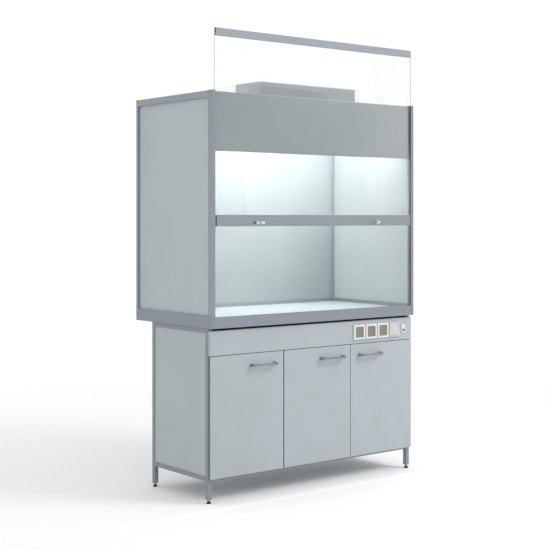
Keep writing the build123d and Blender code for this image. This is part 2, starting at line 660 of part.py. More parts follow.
def pulley(bore_radius):
    """Grooved wheel about the X axis, with lightening holes."""
    w = PULLEY_WIDTH / 2
    rim = PULLEY_PITCH_RADIUS + PULLEY_FLANGE
    bed = PULLEY_PITCH_RADIUS - CABLE_DIAMETER / 2 - GROOVE_CLEARANCE
    bed_w = CABLE_DIAMETER / 2 + GROOVE_CLEARANCE
    lip_w = w - 1.0
    outline = [(-w, bore_radius), (-w, rim), (-lip_w, rim), (-bed_w, bed)]
    outline += [(bed_w, bed), (lip_w, rim), (w, rim), (w, bore_radius)]
    wheel = revolve(Plane.XZ * Polygon(*outline, align=None), Axis.X)
    ring = (bore_radius + bed) / 2
    for place in PolarLocations(ring, PULLEY_HOLES):
        y, z = place.position.X, place.position.Y
        wheel -= rod(PULLEY_HOLE_RADIUS, (-PULLEY_WIDTH, y, z), (PULLEY_WIDTH, y, z))
    return wheel


def front_pulley_shaft():
    """Shaft across the hood that keeps the sash level, a pulley keyed on each end."""
    reach = CAVITY_OUTER - BRACKET_SIDE_PLAY - 0.1
    shaft = rod(SHAFT_RADIUS, (-reach, FRONT_PULLEY_Y, PULLEY_Z), (reach, FRONT_PULLEY_Y, PULLEY_Z))
    wheel = Pos(CABLE_X, FRONT_PULLEY_Y, PULLEY_Z) * pulley(SHAFT_RADIUS - 1)
    return [shaft + wheel + mirrored(wheel)]


def rear_pulley():
    """Pulley above the right counterweight."""
    return Pos(CABLE_X, REAR_PULLEY_Y, PULLEY_Z) * pulley(PIN_RADIUS + RUNNING_PLAY)


def bracket_at(y):
    """Two cheeks and a foot, screwed under the side top rail over a pulley."""
    x0 = CAVITY_INNER + BRACKET_SIDE_PLAY
    x1 = CAVITY_OUTER - BRACKET_SIDE_PLAY
    r = BRACKET_CHEEK_RADIUS
    cheeks = block((x0, x1), (y - r, y + r), (PULLEY_Z, TOP_RAIL_BOTTOM))
    cheeks += rod(r, (x0, y, PULLEY_Z), (x1, y, PULLEY_Z))
    between = (x0 + BRACKET_SHEET, x1 - BRACKET_SHEET)
    cheeks -= block(between, (y - r - 1, y + r + 1), (PULLEY_Z - r - 1, TOP_RAIL_BOTTOM - BRACKET_SHEET))
    foot = block((x0, x1), (y + r, y + r + BRACKET_FOOT), (TOP_RAIL_BOTTOM - BRACKET_SHEET, TOP_RAIL_BOTTOM))
    return cheeks + foot


def pulley_brackets():
    """Front brackets with a bearing hole, rear brackets with their pulley's pin."""
    x0 = CAVITY_INNER + BRACKET_SIDE_PLAY
    x1 = CAVITY_OUTER - BRACKET_SIDE_PLAY
    bearing = rod(
        SHAFT_RADIUS + RUNNING_PLAY, (x0 - 1, FRONT_PULLEY_Y, PULLEY_Z), (x1 + 1, FRONT_PULLEY_Y, PULLEY_Z)
    )
    pin = rod(PIN_RADIUS, (x0, REAR_PULLEY_Y, PULLEY_Z), (x1, REAR_PULLEY_Y, PULLEY_Z))
    return pair(bracket_at(FRONT_PULLEY_Y) - bearing) + pair(bracket_at(REAR_PULLEY_Y) + pin)


def counterweight():
    """Steel plate whose width makes the two plates weigh as much as the sash."""
    glass = sash_glass()[0].volume * GLASS_DENSITY
    frame = (sash_bottom_bar()[0].volume + sash_top_rail()[0].volume) * ALUMINIUM_DENSITY
    fittings = sum(p.volume for p in sash_lift_lugs() + catch_barrels()) * STEEL_DENSITY
    fittings += 2 * catch_bolt().volume * STEEL_DENSITY
    area = COUNTERWEIGHT_THICKNESS * COUNTERWEIGHT_HEIGHT
    width = (glass + frame + fittings) / (2 * STEEL_DENSITY * area)
    half_t = COUNTERWEIGHT_THICKNESS / 2
    top = COUNTERWEIGHT_BOTTOM + COUNTERWEIGHT_HEIGHT
    y = (COUNTERWEIGHT_Y - width / 2, COUNTERWEIGHT_Y + width / 2)
    plate = block((CABLE_X - half_t, CABLE_X + half_t), y, (COUNTERWEIGHT_BOTTOM, top))
    stud_top = top + COUNTERWEIGHT_STUD_HEIGHT
    stud = rod(COUNTERWEIGHT_STUD_RADIUS, (CABLE_X, COUNTERWEIGHT_Y, top), (CABLE_X, COUNTERWEIGHT_Y, stud_top))
    return plate + stud


def catch_places():
    """Height, depth and inner end of the right-hand catch's barrel."""
    z = BAR_BOTTOM + CATCH_ABOVE_BAR_BOTTOM
    y = FRONT - BAR_PROUD - CATCH_PLATE_THICKNESS - BARREL_RADIUS
    inner_end = CATCH_STEM_X + STEM_FROM_BARREL
    return z, y, inner_end


def catch_barrels():
    """Barrels on their plates, slotted for the bolt's stem."""
    z, y, x0 = catch_places()
    x1 = x0 + BARREL_LENGTH
    middle = (x0 + x1) / 2
    plate_y = (FRONT - BAR_PROUD - CATCH_PLATE_THICKNESS, FRONT - BAR_PROUD)
    half_l = CATCH_PLATE_LENGTH / 2
    half_h = CATCH_PLATE_HEIGHT / 2
    plate = block((middle - half_l, middle + half_l), plate_y, (z - half_h, z + half_h))
    barrel = plate + rod(BARREL_RADIUS, (x0, y, z), (x1, y, z))
    barrel -= rod(BOLT_RADIUS + RUNNING_PLAY, (x0 - 1, y, z), (x1 + 1, y, z))
    slot_half = STEM_RADIUS + STEM_PLAY
    slot = block((x0 - 1, x0 + BARREL_SLOT_LENGTH), (y - BARREL_RADIUS - 1, y), (z - slot_half, z + slot_half))
    return pair(barrel - slot)


def catch_bolt():
    """Bolt with a wide tip outside the barrel and a knob on a stem at its tail."""
    z, y, x0 = catch_places()
    x1 = x0 + BARREL_LENGTH
    stem_x = x0 - STEM_FROM_BARREL
    bolt = rod(BOLT_RADIUS, (stem_x - BOLT_TAIL, y, z), (x1 + GROOVE_CLEARANCE, y, z))
    tip_start = x1 + GROOVE_CLEARANCE
    bolt += rod(BOLT_TIP_RADIUS, (tip_start, y, z), (tip_start + BOLT_TIP_LENGTH, y, z))
    knob_y = FRONT - BAR_PROUD - KNOB_STANDOFF
    bolt += rod(STEM_RADIUS, (stem_x, y, z), (stem_x, knob_y, z))
    knob = Pos(stem_x, knob_y, z) * Box(KNOB_LENGTH, KNOB_DEPTH, KNOB_HEIGHT)
    return bolt + fillet(knob.edges(), KNOB_ROUNDING)


def side_frame():
    """Welded right-hand side of the steel frame: two legs, two rails, a tapped plate in each leg."""
    x = (FRAME_HALF - TUBE, FRAME_HALF)
    w = TUBE_WALL
    x_in = (x[0] + w, x[1] - w)
    frame = None
    for y0 in (FRAME_FRONT, FRAME_REAR - TUBE):
        leg = block(x, (y0, y0 + TUBE), (LEG_CLEARANCE, HOOD_UNDERSIDE))
        y_in = (y0 + w, y0 + TUBE - w)
        leg -= block(x_in, y_in, (LEG_CLEARANCE + LEG_PLATE_THICKNESS, HOOD_UNDERSIDE - w))
        centre = (FRAME_HALF - TUBE / 2, y0 + TUBE / 2)
        leg -= rod(
            FOOT_STUD_RADIUS + RUNNING_PLAY,
            (*centre, LEG_CLEARANCE - 1),
            (*centre, LEG_CLEARANCE + LEG_PLATE_THICKNESS + 1),
        )
        frame = leg if frame is None else frame + leg
    for z0 in (BOTTOM_RAIL_HEIGHT, CARCASS_TOP):
        y = (FRAME_FRONT + TUBE, FRAME_REAR - TUBE)
        rail = block(x, y, (z0, z0 + TUBE))
        frame += rail - block(x_in, y, (z0 + w, z0 + TUBE - w))
    return frame


def cross_rails():
    """Tubes between the side frames: two at the front and two at the rear."""
    half = FRAME_HALF - TUBE
    rails = []
    for y0 in (FRAME_FRONT, FRAME_REAR - TUBE):
        for z0 in (BOTTOM_RAIL_HEIGHT, CARCASS_TOP):
            rails.append(rail_along_x(half, (y0, y0 + TUBE), (z0, z0 + TUBE), TUBE_WALL))
    return rails


def leg_notches(z):
    """Space that a board leaves for the four legs."""
    x = (FRAME_HALF - TUBE - BOARD_PLAY, FRAME_HALF)
    front = block(x, (FRAME_FRONT, FRAME_FRONT + TUBE + BOARD_PLAY), z)
    rear = block(x, (FRAME_REAR - TUBE - BOARD_PLAY, FRAME_REAR), z)
    return [front, rear, mirrored(front), mirrored(rear)]


def cabinet_side_panels():
    """Side boards between the legs and the side rails."""
    x = (SIDE_BOARD_INNER, FRAME_HALF - SIDE_BOARD_INSET)
    return pair(block(x, (FRAME_FRONT + TUBE, FRAME_REAR - TUBE), (FLOOR_BOARD_BOTTOM, CARCASS_TOP)))


def cabinet_back_panel():
    """Back board, standing on the lower rear rail."""
    half = FRAME_HALF - TUBE
    return [block((-half, half), (BACK_BOARD_FRONT, BACK_BOARD_FRONT + BOARD), (FLOOR_BOARD_BOTTOM, CARCASS_TOP))]


def cabinet_floor():
    """Floor board on the lower rails, notched round the legs."""
    y = (FRAME_FRONT + BOARD_SETBACK, BACK_BOARD_FRONT)
    z = (FLOOR_BOARD_BOTTOM, FLOOR_BOARD_TOP)
    board = block((-SIDE_BOARD_INNER, SIDE_BOARD_INNER), y, z)
    for notch in leg_notches(z):
        board -= notch
    return [board]


def cabinet_partition():
    """Board between the single and the double compartment."""
    x = (PARTITION_X - BOARD / 2, PARTITION_X + BOARD / 2)
    return [block(x, (FRAME_FRONT + BOARD_SETBACK, BACK_BOARD_FRONT), (FLOOR_BOARD_TOP, CARCASS_TOP))]


def cabinet_shelves():
    """One shelf in each compartment."""
    y = (FRAME_FRONT + SHELF_SETBACK, BACK_BOARD_FRONT)
    z = (SHELF_HEIGHT, SHELF_HEIGHT + BOARD)
    left = (-SIDE_BOARD_INNER, PARTITION_X - BOARD / 2)
    right = (PARTITION_X + BOARD / 2, SIDE_BOARD_INNER)
    shelves = []
    for x in (left, right):
        board = block(x, y, z)
        for notch in leg_notches(z):
            board -= notch
        shelves.append(board)
    return shelves


def door_spans():
    """Left and right edges of the three doors."""
    half = FRONTS_HALF
    gap = DOOR_GAP_AT_PARTITION / 2
    first_end = PARTITION_X - gap
    second_start = PARTITION_X + gap
    width = (half - second_start - DOOR_GAP) / 2
    return [(-half, first_end), (second_start, second_start + width), (half - width, half)]


def hinge_sides():
    """For each door: its hinged edge, the carcass face that carries the hinge, and the way in from there."""
    spans = door_spans()
    leg_face = FRAME_HALF - TUBE
    partition_face = PARTITION_X + BOARD / 2
    return [(spans[0][0], -leg_face, 1), (spans[1][0], partition_face, 1), (spans[2][1], leg_face, -1)]


def cup_centre(edge, face, inward):
    """Centre of a hinge cup across the door, never nearer its edge than the cup's rim allows."""
    wanted = (face + inward * CUP_PAST_CARCASS - edge) * inward
    return edge + inward * max(wanted, CUP_RADIUS + CUP_EDGE_MARGIN)


def hinge_heights():
    """Heights of the two hinges on each door."""
    return (DOOR_BOTTOM + HINGE_FROM_DOOR_END, DOOR_TOP - HINGE_FROM_DOOR_END)


def door(index):
    """Door board with its two hinge cups let into the back."""
    span = door_spans()[index]
    back = FRONTS_FACE + DOOR_THICKNESS
    board = block(span, (FRONTS_FACE, back), (DOOR_BOTTOM, DOOR_TOP))
    board = fillet(board.edges().group_by(Axis.Y)[0], FRONT_EDGE_RADIUS)
    x = cup_centre(*hinge_sides()[index])
    for z in hinge_heights():
        flange = rod(CUP_FLANGE_RADIUS, (x, back, z), (x, back + CUP_FLANGE_THICKNESS, z))
        for side in (-1, 1):
            ear = z + side * CUP_EAR_SPACING / 2
            flange += rod(CUP_EAR_RADIUS, (x, back, ear), (x, back + CUP_FLANGE_THICKNESS, ear))
        inside = rod(CUP_RADIUS - CUP_WALL, (x, back - CUP_DEPTH, z), (x, back + CUP_FLANGE_THICKNESS + 1, z))
        board = board + flange - inside
    return board


def hinge_arm(index, z):
    """Arm from the carcass into the door's cup, with its mounting plate."""
    edge, face, inward = hinge_sides()[index]
    x_cup = cup_centre(edge, face, inward)
    back = FRONTS_FACE + DOOR_THICKNESS
    plate_x = sorted((face, face + inward * HINGE_PLATE_THICKNESS))
    half_h = HINGE_ARM_HEIGHT / 2
    plate_y0 = FRAME_FRONT + BOARD_SETBACK
    half_plate = HINGE_PLATE_HEIGHT / 2
    arm = block(plate_x, (plate_y0, plate_y0 + HINGE_PLATE_LENGTH), (z - half_plate, z + half_plate))
    tip_inner = x_cup + inward * HINGE_ARM_WIDTH * 0.75
    tip_outer = tip_inner - inward * HINGE_ARM_WIDTH
    beam_x = sorted((plate_x[0] if inward > 0 else plate_x[1], tip_inner))
    beam_y0 = back + CUP_FLANGE_THICKNESS + HINGE_CLEARANCE
    arm += block(beam_x, (plate_y0, beam_y0 + HINGE_ARM_LENGTH), (z - half_h, z + half_h))
    tip_x = sorted((tip_outer, tip_inner))
    tip_y0 = back - CUP_DEPTH + HINGE_CLEARANCE
    return arm + block(tip_x, (tip_y0, plate_y0 + 1), (z - half_h, z + half_h))


def hinge_arms():
    """The six hinge arms."""
    return [hinge_arm(index, z) for index in range(3) for z in hinge_heights()]


def handle_place(index):
    """Middle of a door's handle across the front, and its height."""
    span = door_spans()[index]
    from_edge = HANDLE_FROM_DOOR_EDGE + HANDLE_CENTRES / 2
    free_edge_on_right = hinge_sides()[index][2] > 0
    x = span[1] - from_edge if free_edge_on_right else span[0] + from_edge
    return x, DOOR_TOP - HANDLE_BELOW_DOOR_TOP


def handle(index):
    """Bow handle bent from round bar, with a wider foot at each end."""
    x, z = handle_place(index)
    half = HANDLE_CENTRES / 2
    y_out = FRONTS_FACE - HANDLE_REACH
    corners = [(x - half, FRONTS_FACE, z), (x - half, y_out, z), (x + half, y_out, z), (x + half, FRONTS_FACE, z)]
    path = FilletPolyline(*corners, radius=HANDLE_BEND_RADIUS)
    bow = sweep(Plane(origin=corners[0], z_dir=(0, -1, 0)) * Circle(HANDLE_RADIUS), path=path)
    for side in (-1, 1):
        foot_x = x + side * half
        foot = Cone(HANDLE_FOOT_RADIUS, HANDLE_RADIUS, HANDLE_FOOT_HEIGHT)
        seat = Plane(origin=(foot_x, FRONTS_FACE - HANDLE_FOOT_HEIGHT / 2, z), z_dir=(0, -1, 0))
        bow += seat * foot
    return bow


def foot(x_side, y0):
    """Levelling foot: a pad, a hub and the stud that screws into the leg."""
    centre = (x_side * (FRAME_HALF - TUBE / 2), y0 + TUBE / 2)
    outline = [(0, 0), (FOOT_PAD_RADIUS - 1, 0), (FOOT_PAD_RADIUS, 1), (FOOT_PAD_RADIUS, FOOT_PAD_HEIGHT - 3)]
    outline += [(FOOT_HUB_RADIUS, FOOT_PAD_HEIGHT), (FOOT_HUB_RADIUS, FOOT_HUB_HEIGHT)]
    outline += [(FOOT_STUD_RADIUS, FOOT_HUB_HEIGHT), (FOOT_STUD_RADIUS, FOOT_STUD_LENGTH), (0, FOOT_STUD_LENGTH)]
    turned = revolve(Plane.XZ * Polygon(*outline, align=None), Axis.Z)
    return Pos(*centre, 0) * turned


def device_xs():
    """Centres of the sockets, of the rocker switch after them, and of the button plate."""
    plate = FRONTS_HALF - BUTTON_PLATE_FROM_END
    switch = plate - BUTTON_PLATE_FROM_SWITCH
    sockets = [switch - (SOCKET_COUNT - i) * DEVICE_PITCH for i in range(SOCKET_COUNT)]
    return sockets, switch, plate


def square(x, size, y, z=DEVICE_HEIGHT, height=None):
    """Upright square block on the apron, centred on x and z."""
    tall = size if height is None else height
    return block((x - size / 2, x + size / 2), y, (z - tall / 2, z + tall / 2))


def apron_panel():
    """Front board over the doors, cut out for the devices' bodies."""
    half = FRONTS_HALF
    y = (FRONTS_FACE, FRONTS_FACE + APRON_THICKNESS)
    board = block((-half, half), y, (APRON_BOTTOM, APRON_TOP))
    board = fillet(board.edges().group_by(Axis.Y)[0], FRONT_EDGE_RADIUS)
    sockets, switch, plate = device_xs()
    cut_y = (y[0] - 1, y[1] + 1)
    for x in (*sockets, switch):
        board -= square(x, DEVICE_BODY + 2 * CUTOUT_PLAY, cut_y)
    z = DEVICE_HEIGHT - BUTTON_DROP
    hole_radius = BUTTON_COLLAR_RADIUS + CUTOUT_PLAY
    return [board - rod(hole_radius, (plate, cut_y[0], z), (plate, cut_y[1], z))]


def device_frame(x, window, window_depth):
    """Square frame with its body behind, and a window in front."""
    front = FRONTS_FACE - DEVICE_FRAME_PROUD
    plate = square(x, DEVICE_FRAME, (front, FRONTS_FACE))
    plate = fillet(plate.edges().filter_by(Axis.Y), DEVICE_FRAME_RADIUS)
    plate = fillet(plate.edges().group_by(Axis.Y)[0], DEVICE_FRAME_RADIUS / 2)
    frame = plate + square(x, DEVICE_BODY, (FRONTS_FACE, FRONTS_FACE + DEVICE_BODY_DEPTH))
    return frame - square(x, window, (front - 1, front + window_depth))


def tab_outline(x, y, z_top, play):
    """Tapered tab that hangs from z_top, drawn across the front."""
    top = LID_TAB_WIDTH / 2 + play
    bottom = LID_TAB_WIDTH / 3 + play
    height = LID_TAB_HEIGHT + play
    points = [(x - top, z_top), (x + top, z_top), (x + bottom, z_top - height), (x - bottom, z_top - height)]
    return extrude(Plane(origin=(0, y, 0), x_dir=(1, 0, 0), z_dir=(0, -1, 0)) * Polygon(*points, align=None), 10)


def lid_axis():
    """Depth and height of a lid's hinge line."""
    y = FRONTS_FACE - DEVICE_FRAME_PROUD + LID_RECESS + LID_THICKNESS / 2
    return y, DEVICE_HEIGHT + WINDOW / 2 - LID_PLAY - LID_THICKNESS / 2


def socket_frame(x):
    """Socket: frame, round well and the two contact holes, with a notch for the lid's tab."""
    front = FRONTS_FACE - DEVICE_FRAME_PROUD
    floor = front + WINDOW_DEPTH
    frame = device_frame(x, WINDOW, WINDOW_DEPTH)
    z = DEVICE_HEIGHT
    frame -= rod(SOCKET_WELL_RADIUS, (x, floor - 1, z), (x, floor + SOCKET_WELL_DEPTH, z))
    for side in (-1, 1):
        cx = x + side * CONTACT_SPACING / 2
        well_floor = floor + SOCKET_WELL_DEPTH
        frame -= rod(CONTACT_RADIUS, (cx, well_floor - 1, z), (cx, well_floor + DEVICE_BODY_DEPTH, z))
    notch_depth = LID_RECESS + LID_THICKNESS + LID_PLAY
    window_bottom = DEVICE_HEIGHT - WINDOW / 2
    frame -= tab_outline(x, front + notch_depth, window_bottom + 1, LID_PLAY)
    y_pin, z_pin = lid_axis()
    reach = WINDOW / 2 + LID_PIN_LENGTH
    return frame - rod(LID_PIN_RADIUS + RUNNING_PLAY, (x - reach, y_pin, z_pin), (x + reach, y_pin, z_pin))


def socket_lid(x):
    """Clear lid: a flat cover with a round hinged edge, two pins and a finger tab."""
    y_pin, z_pin = lid_axis()
    half = WINDOW / 2 - LID_PLAY
    half_t = LID_THICKNESS / 2
    bottom = DEVICE_HEIGHT - half
    lid = block((x - half, x + half), (y_pin - half_t, y_pin + half_t), (bottom, z_pin))
    lid += rod(half_t, (x - half, y_pin, z_pin), (x + half, y_pin, z_pin))
    tab = tab_outline(x, y_pin + half_t, bottom + 1, 0)
    tab &= block((x - half, x + half), (y_pin - half_t, y_pin + half_t), (bottom - WINDOW, bottom + 1))
    reach = WINDOW / 2 + LID_PIN_LENGTH - LID_PLAY
    return lid + tab + rod(LID_PIN_RADIUS, (x - reach, y_pin, z_pin), (x + reach, y_pin, z_pin))


def rocker_axis():
    """Depth and height of the rocker's pivot line."""
    return FRONTS_FACE - DEVICE_FRAME_PROUD + ROCKER_AXIS_DEPTH, DEVICE_HEIGHT


def switch_plates():
    """Frame of the rocker switch, and the narrow plate of the push button."""
    _, switch, plate = device_xs()
    depth = DEVICE_FRAME_PROUD + ROCKER_AXIS_DEPTH
    frame = device_frame(switch, ROCKER_WINDOW, DEVICE_FRAME_PROUD - 1)
    frame -= square(switch, DEVICE_BODY - 6, (FRONTS_FACE - 2, FRONTS_FACE - DEVICE_FRAME_PROUD + depth))
    y_pin, z_pin = rocker_axis()
    reach = ROCKER_WINDOW / 2 + ROCKER_PIN_LENGTH
    frame -= rod(ROCKER_PIN_RADIUS + RUNNING_PLAY, (switch - reach, y_pin, z_pin), (switch + reach, y_pin, z_pin))
    y = (FRONTS_FACE - BUTTON_PLATE_PROUD, FRONTS_FACE)
    small = square(plate, BUTTON_PLATE_WIDTH, y, height=BUTTON_PLATE_HEIGHT)
    small = fillet(small.edges().filter_by(Axis.Y), BUTTON_PLATE_RADIUS)
    small = fillet(small.edges().group_by(Axis.Y)[0], BUTTON_PLATE_RADIUS / 3)
    z = DEVICE_HEIGHT - BUTTON_DROP
    small -= rod(BUTTON_RADIUS + BUTTON_PLAY, (plate, y[0] - 1, z), (plate, y[1] + 1, z))
    seat = y[1] - BUTTON_COLLAR_THICKNESS - BUTTON_PLAY
    small -= rod(BUTTON_COLLAR_RADIUS + BUTTON_PLAY, (plate, seat, z), (plate, y[1] + 1, z))
    return [frame, small]


def rocker():
    """Rocker with a crowned face, pressed in at its top."""
    _, x, _ = device_xs()
    y_pin, z_pin = rocker_axis()
    half = ROCKER_WINDOW / 2 - ROCKER_PLAY
    front = y_pin - ROCKER_THICKNESS + ROCKER_CROWN
    face = (half**2 + ROCKER_CROWN**2) / (2 * ROCKER_CROWN)
    back = y_pin + ROCKER_PIN_RADIUS / 3
    body = block((x - half, x + half), (front - ROCKER_CROWN, back), (z_pin - half, z_pin + half))
    crown_y = front - ROCKER_CROWN + face
    body &= rod(face, (x, crown_y, z_pin - half), (x, crown_y, z_pin + half))
    reach = ROCKER_WINDOW / 2 + ROCKER_PIN_LENGTH - ROCKER_PLAY
    body += rod(ROCKER_PIN_RADIUS, (x - reach, y_pin, z_pin), (x + reach, y_pin, z_pin))
    return body.rotate(Axis((x, y_pin, z_pin), (1, 0, 0)), -ROCKER_TILT)


def push_button():
    """Round button with the collar that keeps it in its plate."""
    x = device_xs()[2]
    z = DEVICE_HEIGHT - BUTTON_DROP
    front = FRONTS_FACE - BUTTON_PLATE_PROUD - BUTTON_PROUD
    collar_front = FRONTS_FACE - BUTTON_COLLAR_THICKNESS
    stem = rod(BUTTON_RADIUS, (x, front, z), (x, FRONTS_FACE, z))
    stem = fillet(stem.edges().group_by(Axis.Y)[0], BUTTON_RADIUS / 4)
    return stem + rod(BUTTON_COLLAR_RADIUS, (x, collar_front, z), (x, FRONTS_FACE, z))


def all_parts():
    """Every node's name with its solids."""
    parts = {
        "front_posts": front_posts(),
        "rear_posts": rear_posts(),
        "top_rails": side_top_rails() + rear_top_rail(),
        "base_front_rail": base_front_rail(),
        "base_side_rails": base_side_rails(),
        "base_rear_rail": base_rear_rail(),
        "outer_side_panels": outer_side_panels(),
        "inner_side_linings": inner_side_linings(),
        "outer_back_panel": outer_back_panel(),
        "back_lining": back_lining(),
        "worktop": worktop(),
        "roof_panel": roof_panel(),
        "exhaust_box": exhaust_box(),
        "header_panel": header_panel(),
        "interior_trim": interior_trim(),
        "lamp_housing": lamp_housing(),
        "lamp_diffuser": lamp_diffuser(),
        "sash_glass": sash_glass(),
        "sash_bottom_bar": sash_bottom_bar(),
        "sash_top_rail": sash_top_rail(),
        "sash_lift_lugs": sash_lift_lugs(),
        "catch_barrels": catch_barrels(),
        "front_cable_runs": front_cable_runs(),
        "top_cable_runs": top_cable_runs(),
        "front_pulley_shaft": front_pulley_shaft(),
        "pulley_brackets": pulley_brackets(),
        "cross_rails": cross_rails(),
        "side_frames": pair(side_frame()),
        "cabinet_side_panels": cabinet_side_panels(),
        "cabinet_back_panel": cabinet_back_panel(),
        "cabinet_floor": cabinet_floor(),
        "cabinet_partition": cabinet_partition(),
        "cabinet_shelves": cabinet_shelves(),
        "apron_panel": apron_panel(),
        "hinge_arms": hinge_arms(),
        "switch_plates": switch_plates(),
        "rocker": [rocker()],
        "push_button": [push_button()],
    }
    one_sided = {
        "catch_bolt": catch_bolt,
        "counterweight": counterweight,
        "rear_pulley": rear_pulley,
        "rear_cable": rear_cable,
    }
    for name, make in one_sided.items():
        right = make()
        parts[f"{name}_right"] = [right]
        parts[f"{name}_left"] = [mirrored(right)]
    for index, side in enumerate(("left", "middle", "right")):
        parts[f"door_{side}"] = [door(index)]
        parts[f"handle_{side}"] = [handle(index)]
    sockets = device_xs()[0]
    parts["socket_frames"] = [socket_frame(x) for x in sockets]
    for x, side in zip(sockets, ("left", "middle", "right")):
        parts[f"socket_lid_{side}"] = [socket_lid(x)]
    for x_side, side in ((-1, "left"), (1, "right")):
        parts[f"foot_front_{side}"] = [foot(x_side, FRAME_FRONT)]
        parts[f"foot_rear_{side}"] = [foot(x_side, FRAME_REAR - TUBE)]
    return parts


os.makedirs("parts", exist_ok=True)
for node, pieces in all_parts().items():
    solids = [solid for piece in pieces for solid in piece.solids()]
    shape = solids[0] if len(solids) == 1 else Compound(children=solids)
    export_step(shape, f"parts/{node}.step")
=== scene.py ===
"""Laboratory fume hood in a plain studio.

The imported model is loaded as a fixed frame. Its nodes keep their shape and get their finishes here.
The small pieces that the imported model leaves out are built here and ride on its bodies.
Metres, +Z up. The front of the hood faces -Y.
"""

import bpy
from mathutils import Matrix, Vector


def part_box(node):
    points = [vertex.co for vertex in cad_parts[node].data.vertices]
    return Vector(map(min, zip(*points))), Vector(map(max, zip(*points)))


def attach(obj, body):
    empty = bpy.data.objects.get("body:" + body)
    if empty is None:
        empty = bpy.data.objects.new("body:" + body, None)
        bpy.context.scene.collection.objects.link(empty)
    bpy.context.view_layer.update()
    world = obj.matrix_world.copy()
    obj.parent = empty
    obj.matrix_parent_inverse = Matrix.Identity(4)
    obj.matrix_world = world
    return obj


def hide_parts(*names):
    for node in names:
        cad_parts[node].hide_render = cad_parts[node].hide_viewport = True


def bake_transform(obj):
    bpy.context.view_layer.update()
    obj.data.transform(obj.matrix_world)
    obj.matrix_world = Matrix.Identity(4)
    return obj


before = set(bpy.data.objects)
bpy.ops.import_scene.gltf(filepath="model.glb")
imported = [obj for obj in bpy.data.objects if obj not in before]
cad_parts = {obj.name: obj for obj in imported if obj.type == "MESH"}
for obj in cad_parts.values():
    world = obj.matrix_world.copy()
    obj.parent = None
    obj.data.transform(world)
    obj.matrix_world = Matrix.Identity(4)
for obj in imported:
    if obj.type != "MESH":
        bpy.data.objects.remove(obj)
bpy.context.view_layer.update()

import logging
import math
from collections.abc import Callable, Iterable, Sequence
from dataclasses import dataclass
from enum import Enum

import bmesh
import bpy
from mathutils import Matrix, Vector

logging.basicConfig(level=logging.INFO, format="%(message)s")
LOG = logging.getLogger("fume_hood")

Colour = tuple[float, float, float]
Spot = tuple[float, float, float]
Pair = tuple[float, float]
Outline = list[tuple[float, float]]
FaceTest = Callable[[Vector, Vector], bool]
Socket = bpy.types.NodeSocket

X_AXIS = Vector((1.0, 0.0, 0.0))
Y_AXIS = Vector((0.0, 1.0, 0.0))
Z_AXIS = Vector((0.0, 0.0, 1.0))


class Side(Enum):
    """Side of the hood, as a sign along X."""

    LEFT = -1
    RIGHT = 1

    @property
    def label(self) -> str:
        """The side as node names say it."""
        return self.name.lower()


class Grain(Enum):
    """Direction of the fine lines in a metal, as the stretch of their noise."""

    NONE = (1.0, 1.0, 1.0)
    ALONG_X = (0.02, 1.0, 1.0)
    ALONG_Y = (1.0, 0.02, 1.0)
    ALONG_Z = (1.0, 1.0, 0.02)


def linear(colour: Colour) -> tuple[float, float, float, float]:
    """Turn a display colour into the shader's linear values.

    Args:
        colour: Red, green and blue as seen, each from 0 to 1.

    Returns:
        The linear colour with full opacity.
    """
    parts = [c / 12.92 if c <= 0.04045 else ((c + 0.055) / 1.055) ** 2.4 for c in colour]
    return (parts[0], parts[1], parts[2], 1.0)


def scaled(colour: Colour, share: float) -> Colour:
    """A display colour made lighter or darker by a share."""
    return tuple(min(1.0, max(0.0, c * share)) for c in colour)


def steps_between(first: float, last: float, count: int) -> list[float]:
    """Evenly spaced values from the first to the last."""
    return [first + (last - first) * index / (count - 1) for index in range(count)]


def circle(radius: float, count: int) -> Outline:
    """Points round a circle about the origin."""
    angles = [2.0 * math.pi * step / count for step in range(count)]
    return [(radius * math.cos(a), radius * math.sin(a)) for a in angles]


def corner_outline(
    low: Sequence[float], high: Sequence[float], round_at: tuple[int, int], radius: float
) -> Outline:
    """Rectangle with one round corner.

    Args:
        low: Lowest x and y.
        high: Highest x and y.
        round_at: Signs of the round corner along x and y.
        radius: Radius of that corner.

    Returns:
        The corners in order.
    """
    points: Outline = []
    starts = {(-1, -1): 180.0, (1, -1): 270.0, (1, 1): 0.0, (-1, 1): 90.0}
    for signs, start in starts.items():
        x = low[0] if signs[0] < 0 else high[0]
        y = low[1] if signs[1] < 0 else high[1]
        if signs != round_at:
            points.append((x, y))
            continue
        cx, cy = x - signs[0] * radius, y - signs[1] * radius
        for angle in map(math.radians, steps_between(start, start + 90.0, 7)):
            points.append((cx + radius * math.cos(angle), cy + radius * math.sin(angle)))
    return points


def edge_on(axis: int, limit: float = 0.5) -> FaceTest:
    """Test for faces that don't face along an axis.

    Args:
        axis: 0, 1 or 2 for X, Y or Z.
        limit: Largest part of the normal along it.

    Returns:
        A test of a face's centre and normal.
    """
    return lambda centre, normal: abs(normal[axis]) < limit


def middle_of(node: str) -> Vector:
    """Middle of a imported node."""
    low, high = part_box(node)
    return (low + high) / 2


